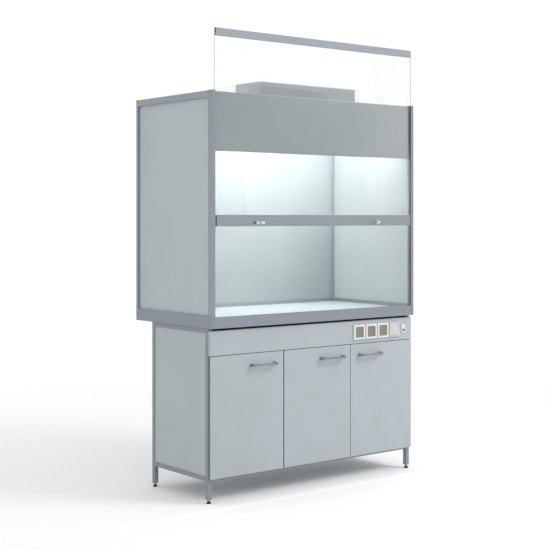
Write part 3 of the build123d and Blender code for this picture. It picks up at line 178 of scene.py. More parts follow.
class Tree:
    """Node tree with helpers that add and join its nodes."""

    def __init__(self, tree: bpy.types.NodeTree) -> None:
        """Take over a node tree."""
        self.tree = tree

    def add(
        self, kind: str, inputs: dict[str | int, object] | None = None, **settings: object
    ) -> bpy.types.Node:
        """Add a node.

        Args:
            kind: Its type, without the common prefix.
            inputs: Constants of its sockets.
            settings: Its properties.

        Returns:
            The node.
        """
        node = self.tree.nodes.new("ShaderNode" + kind)
        for name, value in settings.items():
            setattr(node, name, value)
        for name, value in (inputs or {}).items():
            node.inputs[name].default_value = value
        return node

    def join(self, start: Socket, end: Socket) -> None:
        """Link one socket to another."""
        self.tree.links.new(start, end)

    def map_range(self, value: Socket, span: Pair, to: Pair, **settings: object) -> Socket:
        """Map a socket from one span to another.

        Args:
            value: Socket to map.
            span: Its lowest and highest value.
            to: What these two become.
            settings: Properties of the node.

        Returns:
            The mapped socket.
        """
        inputs = {"From Min": span[0], "From Max": span[1], "To Min": to[0], "To Max": to[1]}
        ramp = self.add("MapRange", inputs, **settings)
        self.join(value, ramp.inputs["Value"])
        return ramp.outputs["Result"]

    def shown_to_eye(self, unseen: bpy.types.Node, seen: bpy.types.Node, output: str) -> None:
        """Show one shader to camera, mirror and see-through rays, and another to the rest.

        Args:
            unseen: Shader for the rest.
            seen: Shader for those rays.
            output: Kind of the output node.
        """
        path = self.add("LightPath")
        total = path.outputs["Is Camera Ray"]
        for name in ("Is Glossy Ray", "Is Transmission Ray"):
            adder = self.add("Math", operation="ADD", use_clamp=True)
            self.join(total, adder.inputs[0])
            self.join(path.outputs[name], adder.inputs[1])
            total = adder.outputs[0]
        mix = self.add("MixShader")
        self.join(total, mix.inputs[0])
        self.join(unseen.outputs[0], mix.inputs[1])
        self.join(seen.outputs[0], mix.inputs[2])
        self.join(mix.outputs[0], self.add(output).inputs["Surface"])


class Desk(Tree):
    """Node tree of one finish."""

    noise_span = (0.3, 0.7)
    whole = (0.0, 1.0)
    cloud_detail = 3.0
    gloss_detail = 2.0

    def __init__(self, name: str) -> None:
        """Start a material with its shader.

        Args:
            name: Name of the material.
        """
        self.material = bpy.data.materials.new(name)
        self.material.use_nodes = True
        super().__init__(self.material.node_tree)
        self.shader = self.tree.nodes["Principled BSDF"]
        self.place = self.add("TexCoord").outputs["Object"]

    def fix(self, name: str, value: float | tuple[float, ...]) -> None:
        """Set a constant on the shader itself."""
        self.shader.inputs[name].default_value = value

    def noise(self, scale: float, detail: float, grain: Spot = Grain.NONE.value) -> Socket:
        """Add noise in the object's own metres.

        Args:
            scale: Cells per metre.
            detail: Octaves of finer noise.
            grain: Scale along each axis, below 1 for long cells.

        Returns:
            The factor socket, around 0.5.
        """
        mapping = self.add("Mapping", {"Scale": grain})
        self.join(self.place, mapping.inputs["Vector"])
        texture = self.add("TexNoise", {"Scale": scale, "Detail": detail})
        self.join(mapping.outputs["Vector"], texture.inputs["Vector"])
        return texture.outputs["Fac"]

    def mix(self, factor: Socket, first: Colour, second: Colour) -> None:
        """Colour the surface between two display colours.

        Args:
            factor: Socket that is 0 for the first colour and 1 for the second.
            first: First display colour.
            second: Second display colour.
        """
        node = self.add("Mix", data_type="RGBA")
        node.inputs[6].default_value = linear(first)
        node.inputs[7].default_value = linear(second)
        self.join(factor, node.inputs[0])
        self.join(node.outputs[2], self.shader.inputs["Base Color"])

    def colour(self, colour: Colour, cloud: float, scale: float, grain: Spot = Grain.NONE.value) -> None:
        """Give the surface its colour, with a faint cloudiness.

        Args:
            colour: Middle display colour.
            cloud: Share by which the colour varies to each side.
            scale: Clouds per metre.
            grain: Stretch of the clouds.
        """
        noise = self.noise(scale, self.cloud_detail, grain)
        factor = self.map_range(noise, self.noise_span, self.whole)
        self.mix(factor, scaled(colour, 1.0 - cloud), scaled(colour, 1.0 + cloud))

    def roughness(self, middle: float, swing: float, scale: float, grain: Spot = Grain.NONE.value) -> None:
        """Give the surface its roughness, varied by noise.

        Args:
            middle: Middle roughness.
            swing: How far it varies to each side.
            scale: Cells of the noise per metre.
            grain: Stretch of the cells.
        """
        noise = self.noise(scale, self.gloss_detail, grain)
        socket = self.map_range(noise, self.noise_span, (middle - swing, middle + swing))
        self.join(socket, self.shader.inputs["Roughness"])

    def bump(self, height: Socket, strength: float, distance: float) -> None:
        """Raise the surface by a height socket.

        Args:
            height: Height from 0 to 1.
            strength: Share of the effect.
            distance: Height in metres at 1.
        """
        node = self.add("Bump", {"Strength": strength, "Distance": distance})
        self.join(height, node.inputs["Height"])
        self.join(node.outputs["Normal"], self.shader.inputs["Normal"])


@dataclass(frozen=True)
class Finish:
    """A surface finish, with the record's material slot that it belongs to.

    Its colour is faintly cloudy and its gloss uneven. Every scale is in cells per metre.
    """

    name: str
    slot: str
    colour: Colour
    rough: float
    cloud: float = 0.012
    cloud_scale: float = 30.0
    cloud_grain: Spot = Grain.NONE.value
    gloss_swing: float = 0.05
    gloss_scale: float = 160.0
    gloss_grain: Spot = Grain.NONE.value

    def material(self) -> bpy.types.Material:
        """Material of this finish, made at its first use.

        Returns:
            The material.
        """
        made = bpy.data.materials.get(self.name)
        if made is None:
            desk = Desk(self.name)
            self.dress(desk)
            made = desk.material
            made.diffuse_color = linear(self.colour)
        return made

    def dress(self, desk: Desk) -> None:
        """Build the nodes of colour and gloss, to which each kind of finish adds its own."""
        desk.colour(self.colour, self.cloud, self.cloud_scale, self.cloud_grain)
        desk.roughness(self.rough, self.gloss_swing, self.gloss_scale, self.gloss_grain)


@dataclass(frozen=True)
class Coated(Finish):
    """Coated or moulded skin with a fine relief."""

    relief: float = 0.10
    coat: float = 0.0
    relief_scale: float = 2200.0
    relief_detail: float = 1.0
    relief_depth: float = 0.00004

    def dress(self, desk: Desk) -> None:
        """Build the nodes of the finish.

        Args:
            desk: Node tree of its material.
        """
        super().dress(desk)
        desk.fix("Coat Weight", self.coat)
        desk.bump(desk.noise(self.relief_scale, self.relief_detail), self.relief, self.relief_depth)


@dataclass(frozen=True)
class Moulded(Coated):
    """Injection moulded plastic with a fine spark texture."""


@dataclass(frozen=True)
class PowderCoat(Coated):
    """Baked powder coating with a fine orange-peel skin."""

    relief: float = 0.18
    cloud_scale: float = 2.2
    gloss_scale: float = 26.0
    relief_scale: float = 620.0
    relief_depth: float = 0.00006


@dataclass(frozen=True)
class Laminate(Coated):
    """Grey laminate with a fine pearl texture."""

    relief: float = 0.22
    cloud: float = 0.010
    cloud_scale: float = 5.0
    gloss_scale: float = 90.0
    relief_scale: float = 1500.0
    relief_detail: float = 2.0
    relief_depth: float = 0.00005


@dataclass(frozen=True)
class Metal(Finish):
    """Metal with fine lines along its grain."""

    cloud: float = 0.05
    cloud_scale: float = 240.0
    gloss_swing: float = 0.08
    gloss_scale: float = 1400.0
    grain: Grain = Grain.ALONG_Z
    metallic: float = 1.0
    relief: float = 0.14
    relief_scale: float = 3000.0
    relief_detail: float = 1.0
    relief_depth: float = 0.00002

    def dress(self, desk: Desk) -> None:
        """Build the nodes of the finish.

        Args:
            desk: Node tree of its material.
        """
        lines = self.grain.value
        desk.colour(self.colour, self.cloud, self.cloud_scale, lines)
        desk.roughness(self.rough, self.gloss_swing, self.gloss_scale, lines)
        desk.fix("Metallic", self.metallic)
        if self.relief > 0.0:
            height = desk.noise(self.relief_scale, self.relief_detail, lines)
            desk.bump(height, self.relief, self.relief_depth)


@dataclass(frozen=True)
class BrushedSteel(Metal):
    """Bare or zinc plated steel with a brushed grain."""


@dataclass(frozen=True)
class Anodised(Metal):
    """Satin anodised extrusion with drawing lines along its length."""

    metallic: float = 0.75
    cloud: float = 0.02
    cloud_scale: float = 180.0
    gloss_swing: float = 0.06
    gloss_scale: float = 900.0
    relief: float = 0.10
    relief_scale: float = 2600.0


@dataclass(frozen=True)
class Polished(Metal):
    """Polished plating with the faint swirl of handling."""

    grain: Grain = Grain.NONE
    cloud: float = 0.015
    cloud_scale: float = 60.0
    gloss_swing: float = 0.03
    gloss_scale: float = 140.0
    relief: float = 0.0


@dataclass(frozen=True)
class WireRope(Finish):
    """Drawn wires of a rope, darker in the lay."""

    cloud: float = 0.18
    cloud_scale: float = 800.0
    cloud_grain: Spot = (1.0, 1.0, 0.4)
    gloss_swing: float = 0.08
    gloss_scale: float = 500.0
    metallic: float = 1.0

    def dress(self, desk: Desk) -> None:
        """Build the nodes of the finish.

        Args:
            desk: Node tree of its material.
        """
        super().dress(desk)
        desk.fix("Metallic", self.metallic)


@dataclass(frozen=True)
class GlazedSlab(Finish):
    """Ceramic slab: a dense body with a pale speckle under a thin glaze."""

    gloss_scale: float = 14.0
    speckle: Pair = (0.975, 1.012)
    speckle_scale: float = 900.0
    speckle_detail: float = 1.0
    glaze: float = 0.05
    glaze_rough: float = 0.30

    def dress(self, desk: Desk) -> None:
        """Build the nodes of the finish.

        Args:
            desk: Node tree of its material.
        """
        grains = desk.noise(self.speckle_scale, self.speckle_detail)
        dark, pale = (scaled(self.colour, share) for share in self.speckle)
        desk.mix(desk.map_range(grains, desk.noise_span, desk.whole), dark, pale)
        desk.roughness(self.rough, self.gloss_swing, self.gloss_scale)
        desk.fix("Coat Weight", self.glaze)
        desk.fix("Coat Roughness", self.glaze_rough)


@dataclass(frozen=True)
class ClearPane(Finish):
    """Clear toughened glass, seen by its gloss, its cleaning marks and its greenish edges."""

    cloud: float = 0.004
    cloud_scale: float = 3.0
    gloss_swing: float = 0.01
    gloss_scale: float = 7.0
    gloss_grain: Spot = (1.0, 1.0, 0.3)
    alpha: float = 0.12
    transmission: float = 1.0
    index: float = 1.45

    def dress(self, desk: Desk) -> None:
        """Build the nodes of the finish.

        Args:
            desk: Node tree of its material.
        """
        super().dress(desk)
        desk.fix("IOR", self.index)
        desk.fix("Transmission Weight", self.transmission)
        desk.fix("Alpha", self.alpha)


@dataclass(frozen=True)
class SmokyLid(Finish):
    """Smoked clear plastic of a lid, with a painted reflection that turns each lid browner towards its right
    edge.
    """

    gloss_swing: float = 0.03
    gloss_scale: float = 30.0
    painted_reflection_brown: Colour = (0.660, 0.555, 0.450)
    first: float = 0.269
    pitch: float = 0.094
    span: Pair = (0.020, 0.080)
    alpha: float = 0.86
    transmission: float = 0.15
    index: float = 1.49

    def dress(self, desk: Desk) -> None:
        """Build the nodes of the finish.

        Args:
            desk: Node tree of its material.
        """
        split = desk.add("SeparateXYZ")
        desk.join(desk.place, split.inputs[0])
        shifted = desk.add("Math", {1: self.first}, operation="SUBTRACT")
        desk.join(split.outputs["X"], shifted.inputs[0])
        within = desk.add("Math", {1: self.pitch}, operation="MODULO")
        desk.join(shifted.outputs[0], within.inputs[0])
        # Across each lid the colour runs from the smoky tint to a brown painted reflection, from left to
        # right.
        desk.mix(desk.map_range(within.outputs[0], self.span, desk.whole), self.colour, self.painted_reflection_brown)
        desk.roughness(self.rough, self.gloss_swing, self.gloss_scale)
        desk.fix("Transmission Weight", self.transmission)
        desk.fix("IOR", self.index)
        desk.fix("Alpha", self.alpha)


@dataclass(frozen=True)
class OpalGlow(Finish):
    """Opal plastic lit from inside."""

    cloud: float = 0.01
    cloud_scale: float = 12.0
    gloss_swing: float = 0.04
    gloss_scale: float = 40.0
    strength: float = 1.6

    def dress(self, desk: Desk) -> None:
        """Build the nodes of the finish.

        Args:
            desk: Node tree of its material.
        """
        super().dress(desk)
        desk.fix("Emission Color", linear(self.colour))
        desk.fix("Emission Strength", self.strength)


class Palette:
    """Every finish of the hood."""

    POST = Anodised("anodised_upright", "profile", (0.592, 0.622, 0.648), 0.42, grain=Grain.ALONG_Z)
    RAIL_X = Anodised("anodised_across", "profile", (0.582, 0.608, 0.634), 0.42, grain=Grain.ALONG_X)
    RAIL_Y = Anodised("anodised_along", "profile", (0.600, 0.630, 0.660), 0.42, grain=Grain.ALONG_Y)
    BASE_Y = Anodised("anodised_base", "profile", (0.560, 0.588, 0.615), 0.42, grain=Grain.ALONG_Y)
    SHEET = PowderCoat("grey_sheet", "sheet", (0.760, 0.792, 0.812), 0.46)
    # A darker copy of the sheet paint, as painted shade on the sheet that faces the front.
    HEADER = PowderCoat("grey_sheet_painted_shade", "sheet", (0.585, 0.612, 0.628), 0.46)
    LINING = PowderCoat("light_lining", "lining", (0.780, 0.806, 0.802), 0.38, relief=0.10)
    LINING_BOARD = Laminate("light_board", "lining_board", (0.648, 0.680, 0.684), 0.40, relief=0.10)
    TRIM = Anodised("anodised_trim", "trim", (0.685, 0.720, 0.738), 0.48, grain=Grain.ALONG_Z, metallic=0.45)
    TRIM_X = Anodised("anodised_foot_trim", "trim", (0.665, 0.705, 0.725), 0.45, grain=Grain.ALONG_X)
    TOP = GlazedSlab("pale_slab", "stone_top", (0.860, 0.895, 0.902), 0.50)
    TUBE = PowderCoat("grey_tube", "tube", (0.570, 0.600, 0.625), 0.50, relief=0.22)
    BOARD = Laminate("grey_board", "board", (0.740, 0.778, 0.797), 0.48)
    BOARD_EDGE = Laminate("grey_edge_band", "board", (0.560, 0.590, 0.608), 0.55)
    FRONT = Laminate("grey_front", "front_board", (0.718, 0.752, 0.770), 0.44)
    FRONT_EDGE = Laminate("front_edge_band", "front_board", (0.420, 0.440, 0.455), 0.50)
    GLASS = ClearPane("clear_pane", "clear_glass", (0.955, 0.985, 0.98), 0.02)
    GLASS_EDGE = ClearPane("pane_edge", "clear_glass", (0.46, 0.62, 0.58), 0.25, alpha=0.85, transmission=0.4)
    SASH = Anodised("anodised_sash", "sash_profile", (0.655, 0.685, 0.710), 0.38, grain=Grain.ALONG_X)
    BAR = Anodised("anodised_bar", "sash_profile", (0.602, 0.630, 0.657), 0.38, grain=Grain.ALONG_X)
    OPAL = OpalGlow("opal_cover", "opal", (0.97, 0.985, 0.98), 0.35)
    ZINC = BrushedSteel("zinc_steel", "steel", (0.62, 0.63, 0.65), 0.38, grain=Grain.ALONG_Z)
    PLATE = BrushedSteel("rolled_steel", "steel", (0.44, 0.45, 0.47), 0.50, grain=Grain.ALONG_Z)
    ROPE = WireRope("wire_rope", "cable_steel", (0.50, 0.51, 0.53), 0.35)
    NYLON = Moulded("black_nylon", "pulley_plastic", (0.16, 0.16, 0.17), 0.50)
    SHOE = Moulded("dark_shoe", "pulley_plastic", (0.13, 0.14, 0.15), 0.45)
    LUG = Moulded("grey_lug", "pulley_plastic", (0.40, 0.42, 0.445), 0.45)
    CATCH = Polished("polished_catch", "catch_metal", (0.86, 0.87, 0.88), 0.16)
    HANDLE = BrushedSteel("satin_handle", "handle_metal", (0.59, 0.605, 0.635), 0.36, grain=Grain.ALONG_X)
    DEVICE = Moulded("white_frame", "device_white", (0.925, 0.925, 0.915), 0.30, relief=0.05, coat=0.3)
    WELL = Moulded("white_well", "device_white", (0.86, 0.87, 0.87), 0.35)
    ROCKER = Moulded("white_rocker", "rocker_white", (0.815, 0.818, 0.822), 0.24, relief=0.03, coat=0.4)
    LID = SmokyLid("smoky_lid", "smoky_clear", (0.555, 0.630, 0.650), 0.08)
    GREEN = Moulded("green_button", "green_plastic", (0.02, 0.34, 0.34), 0.25, relief=0.03, coat=0.2)
    FOOT = Moulded("black_foot", "foot_black", (0.085, 0.085, 0.088), 0.55, relief=0.25)
    # Black rubber of seals and buffers, also used as painted shade on the cross rails' front faces in the gap
    # above the apron.
    RUBBER_AND_GAP_SHADE = Moulded("black_rubber_and_gap_shade", "foot_black", (0.11, 0.11, 0.115), 0.80, relief=0.30)
    BRASS = BrushedSteel("brass_contact", "steel", (0.76, 0.66, 0.42), 0.30, grain=Grain.ALONG_Y)
    SEALANT = Moulded("pale_sealant", "device_white", (0.80, 0.84, 0.845), 0.45, relief=0.02)
    BUMPER = Moulded("clear_bumper", "device_white", (0.84, 0.86, 0.86), 0.20, relief=0.02, coat=0.5)


class Shape:
    """Faces of one piece, gathered in a mesh."""

    tiny = 1e-7
    screw_head: Outline = [
        (0.0, 0.3), (0.42, 0.3), (0.42, 1.0), (0.7, 0.92), (0.93, 0.6), (1.0, 0.25), (1.0, 0.0), (0.0, 0.0),
    ]

    def __init__(self) -> None:
        """Start with no faces."""
        self.mesh = bmesh.new()

    def skin(self, rings: Sequence[Sequence[Vector]], closed: bool = False) -> "Shape":
        """Skin over rings of equal length.

        Args:
            rings: Rings of points, each in the same order.
            closed: True where the last ring joins the first, and otherwise both ends are capped.

        Returns:
            This shape.
        """
        rows = [[self.mesh.verts.new(point) for point in ring] for ring in rings]
        couples = list(zip(rows, rows[1:]))
        if closed:
            couples.append((rows[-1], rows[0]))
        for first, second in couples:
            count = len(first)
            for index in range(count):
                after = (index + 1) % count
                self.mesh.faces.new((first[index], first[after], second[after], second[index]))
        if not closed:
            self.mesh.faces.new(rows[0][::-1])
            self.mesh.faces.new(rows[-1])
        return self

    def turned(self, origin: Sequence[float], axis: Vector, profile: Outline, segments: int = 16) -> "Shape":
        """Turn a profile about an axis.

        Args:
            origin: Point on the axis where the profile's height is 0.
            axis: Direction of the axis.
            profile: Radius and height pairs. One that starts and ends at radius 0 is solid.
            segments: Faces round the axis.

        Returns:
            This shape.
        """
        along = axis.normalized()
        side = along.orthogonal().normalized()
        other = along.cross(side)
        rings = []
        for radius, height in profile:
            centre = Vector(origin) + along * height
            rings.append([centre + side * u + other * v for u, v in circle(max(radius, self.tiny), segments)])
        return self.skin(rings, closed=profile[0][0] > 0.0)

    def block(self, low: Sequence[float], high: Sequence[float], rounding: float, steps: int = 2) -> "Shape":
        """Add a block with rounded edges.

        Args:
            low: Lowest corner.
            high: Highest corner.
            rounding: Radius of its edges.
            steps: Faces across each rounded edge.

        Returns:
            This shape.
        """
        first, second = Vector(low), Vector(high)
        matrix = Matrix.Translation((first + second) / 2) @ Matrix.Diagonal((*(second - first), 1.0))
        made = bmesh.ops.create_cube(self.mesh, size=1.0, matrix=matrix)
        edges = list(dict.fromkeys(edge for vert in made["verts"] for edge in vert.link_edges))
        bmesh.ops.bevel(self.mesh, geom=edges, offset=rounding, segments=steps, profile=0.5, affect="EDGES")
        return self

    def plate(self, outline: Outline, low: float, high: float, chamfer: float = 0.0) -> "Shape":
        """Raise a flat outline along Z.

        Args:
            outline: Corners as x and y, in order.
            low: Height of the underside.
            high: Height of the top.
            chamfer: Inset of the top edge, the same down and in.

        Returns:
            This shape.
        """
        corners = [Vector((x, y, 0.0)) for x, y in outline]
        centre = sum(corners, Vector()) / len(corners)
        rings = [[point + Z_AXIS * z for point in corners] for z in (low, high - chamfer)]
        if chamfer > 0.0:
            rings.append([p + (centre - p).normalized() * chamfer + Z_AXIS * high for p in corners])
        return self.skin(rings)

    def swept(self, path: Sequence[Vector], side: Vector, sections: Sequence[Outline]) -> "Shape":
        """Sweep sections along a path that keeps to one plane.

        Args:
            path: Points of the path.
            side: Direction at right angles to the path all along it.
            sections: Outline at each point, as distances along side and along its normal.

        Returns:
            This shape.
        """
        rings = []
        for index, (point, section) in enumerate(zip(path, sections)):
            ahead = path[min(index + 1, len(path) - 1)] - path[max(index - 1, 0)]
            normal = ahead.normalized().cross(side)
            rings.append([point + side * u + normal * v for u, v in section])
        return self.skin(rings)

    def screw(self, spot: Sequence[float], towards: Vector, radius: float, height: float) -> "Shape":
        """Add a round screw head with a socket in it.

        Args:
            spot: Point on the surface under the head.
            towards: Direction out of the surface.
            radius: Radius of the head.
            height: Height of the head.

        Returns:
            This shape.
        """
        return self.turned(spot, towards, [(radius * r, height * h) for r, h in self.screw_head], 14)

    def made(self, name: str, smooth_below: float) -> bpy.types.Object:
        """Turn the faces into an object at the origin.

        Args:
            name: Name of the piece.
            smooth_below: Edges that turn less than this, in degrees, are shaded smooth.

        Returns:
            The new object.
        """
        bmesh.ops.remove_doubles(self.mesh, verts=self.mesh.verts, dist=1e-6)
        bmesh.ops.recalc_face_normals(self.mesh, faces=self.mesh.faces)
        for face in self.mesh.faces:
            face.smooth = True
        for edge in self.mesh.edges:
            edge.smooth = edge.calc_face_angle(math.pi) < math.radians(smooth_below)
        data = bpy.data.meshes.new(name)
        self.mesh.to_mesh(data)
        self.mesh.free()
        piece = bpy.data.objects.new(name, data)
        bpy.context.scene.collection.objects.link(piece)
        return piece


class SubAssembly:
    """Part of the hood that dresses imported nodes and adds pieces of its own."""

    weld_gap = 0.00001
    soft_angle = 50.0

    def dress(self, finish: Finish, *nodes: str, rounding: float = 0.0) -> None:
        """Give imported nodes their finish.

        Args:
            finish: Their finish.
            nodes: Names of the nodes.
            rounding: Width of their softened edges, 0 for none.
        """
        for node in nodes:
            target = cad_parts[node]
            target.data.materials.clear()
            target.data.materials.append(finish.material())
            if rounding > 0.0:
                weld = target.modifiers.new("weld", "WELD")
                weld.merge_threshold = self.weld_gap
                bevel = target.modifiers.new("soft_edges", "BEVEL")
                bevel.width = rounding
                bevel.segments = 2
                bevel.limit_method = "ANGLE"
                bevel.angle_limit = math.radians(self.soft_angle)
                bevel.use_clamp_overlap = True
                shading = target.modifiers.new("even_shading", "WEIGHTED_NORMAL")
                shading.keep_sharp = True
            LOG.info("dressed %s in %s", node, finish.name)

    def paint(self, node: str, finish: Finish, where: FaceTest) -> None:
        """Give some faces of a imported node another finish.

        Args:
            node: Name of the node.
            finish: Finish of those faces.
            where: Says from a face's centre and normal whether it is one of them.
        """
        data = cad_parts[node].data
        data.materials.append(finish.material())
        index = len(data.materials) - 1
        for face in data.polygons:
            if where(face.center, face.normal):
                face.material_index = index

    def place(
        self, name: str, shape: Shape, finish: Finish, body: str | None, smooth: float = 40.0
    ) -> bpy.types.Object:
        """Finish a new piece and let it ride on a body.

        Args:
            name: Name of the piece.
            shape: Its faces.
            finish: Its finish.
            body: Name of the body that carries it, or None for one left unattached.
            smooth: Edges that turn less than this, in degrees, are shaded smooth.

        Returns:
            The piece.
        """
        piece = shape.made(name, smooth)
        piece.data.materials.append(finish.material())
        if body is not None:
            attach(piece, body)
        LOG.info("built %s", name)
        return piece

    def screws(
        self, name: str, body: str, spots: Iterable[tuple[Sequence[float], Vector]], radius: float,
        height: float = 0.0014,
    ) -> None:
        """Set a group of like screws.

        Args:
            name: Name of the group.
            body: Name of the body that carries it.
            spots: Point under each head, with the direction out of the surface.
            radius: Radius of the heads.
            height: Height of the heads.
        """
        shape = Shape()
        for spot, towards in spots:
            shape.screw(spot, towards, radius, height)
        self.place(name, shape, Palette.ZINC, body)


@dataclass
class Studio:
    """Camera, floor, background and lights."""

    camera_place: Spot = (-4.38968, -5.47592, 1.51785)
    camera_turn: float = -38.465
    sensor: float = 36.0
    lens: float = 78.114
    shift_y: float = -0.1051
    camera_reach: float = 60.0
    ambient: float = 0.80
    floor_size: float = 24.0
    floor_seen: float = 1.10
    floor_bounce: float = 0.72
    fade: Pair = (1.3, 4.6)
    key_place: Spot = (2.8, -3.9, 4.1)
    key_aim: Spot = (0.0, 0.0, 0.9)
    key_size: Pair = (2.2, 2.2)
    key_power: float = 112.0
    lamp_power: float = 19.0
    beam_power: float = 4.5
    beam_spread: float = 115.0
    lamp_depth: float = 0.03
    lamp_end_gap: float = 0.03
    lamp_drop: float = 0.004
    lamp_aim: Pair = (1.0, 0.36)

    def build_camera(self) -> None:
        """Set the camera where the photograph was taken from."""
        data = bpy.data.cameras.new("camera")
        data.sensor_width = self.sensor
        data.lens = self.lens
        data.shift_y = self.shift_y
        data.clip_end = self.camera_reach
        camera = bpy.data.objects.new("camera", data)
        camera.location = self.camera_place
        camera.rotation_euler = (math.radians(90.0), 0.0, math.radians(self.camera_turn))
        bpy.context.scene.collection.objects.link(camera)
        bpy.context.scene.camera = camera
        bpy.context.scene.view_settings.view_transform = "Standard"

    def build_world(self) -> None:
        """Light the room evenly and keep its background white."""
        world = bpy.data.worlds.new("white_room")
        bpy.context.scene.world = world
        world.use_nodes = True
        tree = Tree(world.node_tree)
        tree.tree.nodes.clear()
        white = (1.0, 1.0, 1.0, 1.0)
        room = tree.add("Background", {"Color": white, "Strength": self.ambient})
        seen = tree.add("Background", {"Color": white, "Strength": 1.0})
        tree.shown_to_eye(room, seen, "OutputWorld")

    def build_floor(self) -> None:
        """Lay a floor that keeps the hood's soft shadow and fades into the white background."""
        half = self.floor_size / 2
        shape = Shape()
        corners = ((-half, -half, 0.0), (half, -half, 0.0), (half, half, 0.0), (-half, half, 0.0))
        shape.mesh.faces.new([shape.mesh.verts.new(corner) for corner in corners])
        floor = shape.made("floor", 40.0)
        material = bpy.data.materials.new("white_floor")
        material.use_nodes = True
        tree = Tree(material.node_tree)
        tree.tree.nodes.clear()
        near = tree.add("BsdfDiffuse", {"Color": (self.floor_seen,) * 3 + (1.0,)})
        unseen = tree.add("BsdfDiffuse", {"Color": (self.floor_bounce,) * 3 + (1.0,)})
        distance = tree.add("VectorMath", operation="LENGTH")
        tree.join(tree.add("TexCoord").outputs["Object"], distance.inputs[0])
        away = distance.outputs["Value"]
        far = tree.map_range(away, self.fade, (0.0, 1.0), interpolation_type="SMOOTHSTEP")
        seen = tree.add("MixShader")
        tree.join(far, seen.inputs[0])
        tree.join(near.outputs[0], seen.inputs[1])
        tree.join(tree.add("Emission").outputs[0], seen.inputs[2])
        tree.shown_to_eye(unseen, seen, "OutputMaterial")
        floor.data.materials.append(material)

    def area_light(
        self, name: str, place: Spot, aim: Spot, size: Pair, power: float, spread: float = 180.0
    ) -> None:
        """Hang a soft box.

        Args:
            name: Name of the light.
            place: Its centre.
            aim: Point that it faces.
            size: Its width and height.
            power: Its power in watts.
            spread: Angle across its beam, in degrees.
        """
        data = bpy.data.lights.new(name, "AREA")
        data.shape = "RECTANGLE"
        data.size, data.size_y = size
        data.energy = power
        data.spread = math.radians(spread)
        light = bpy.data.objects.new(name, data)
        light.location = place
        light.visible_glossy = False
        light.rotation_euler = (Vector(aim) - Vector(place)).to_track_quat("-Z", "Y").to_euler()
        bpy.context.scene.collection.objects.link(light)

    def build_lights(self) -> None:
        """Hang one large soft box ahead of the hood, and the chamber's own light."""
        self.area_light("soft_box", self.key_place, self.key_aim, self.key_size, self.key_power)
        low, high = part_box("lamp_diffuser")
        middle = (low.y + high.y) / 2
        size = (high.x - low.x - 2 * self.lamp_end_gap, self.lamp_depth)
        place = (0.0, middle, low.z - self.lamp_drop)
        aim = (0.0, middle + self.lamp_aim[0], low.z - self.lamp_aim[1])
        self.area_light("chamber_light", place, aim, size, self.lamp_power)
        self.area_light("chamber_beam", place, aim, size, self.beam_power, self.beam_spread)

    def build(self) -> None:
        """Build the studio, camera first."""
        self.build_camera()
        self.build_world()
        self.build_floor()
        self.build_lights()


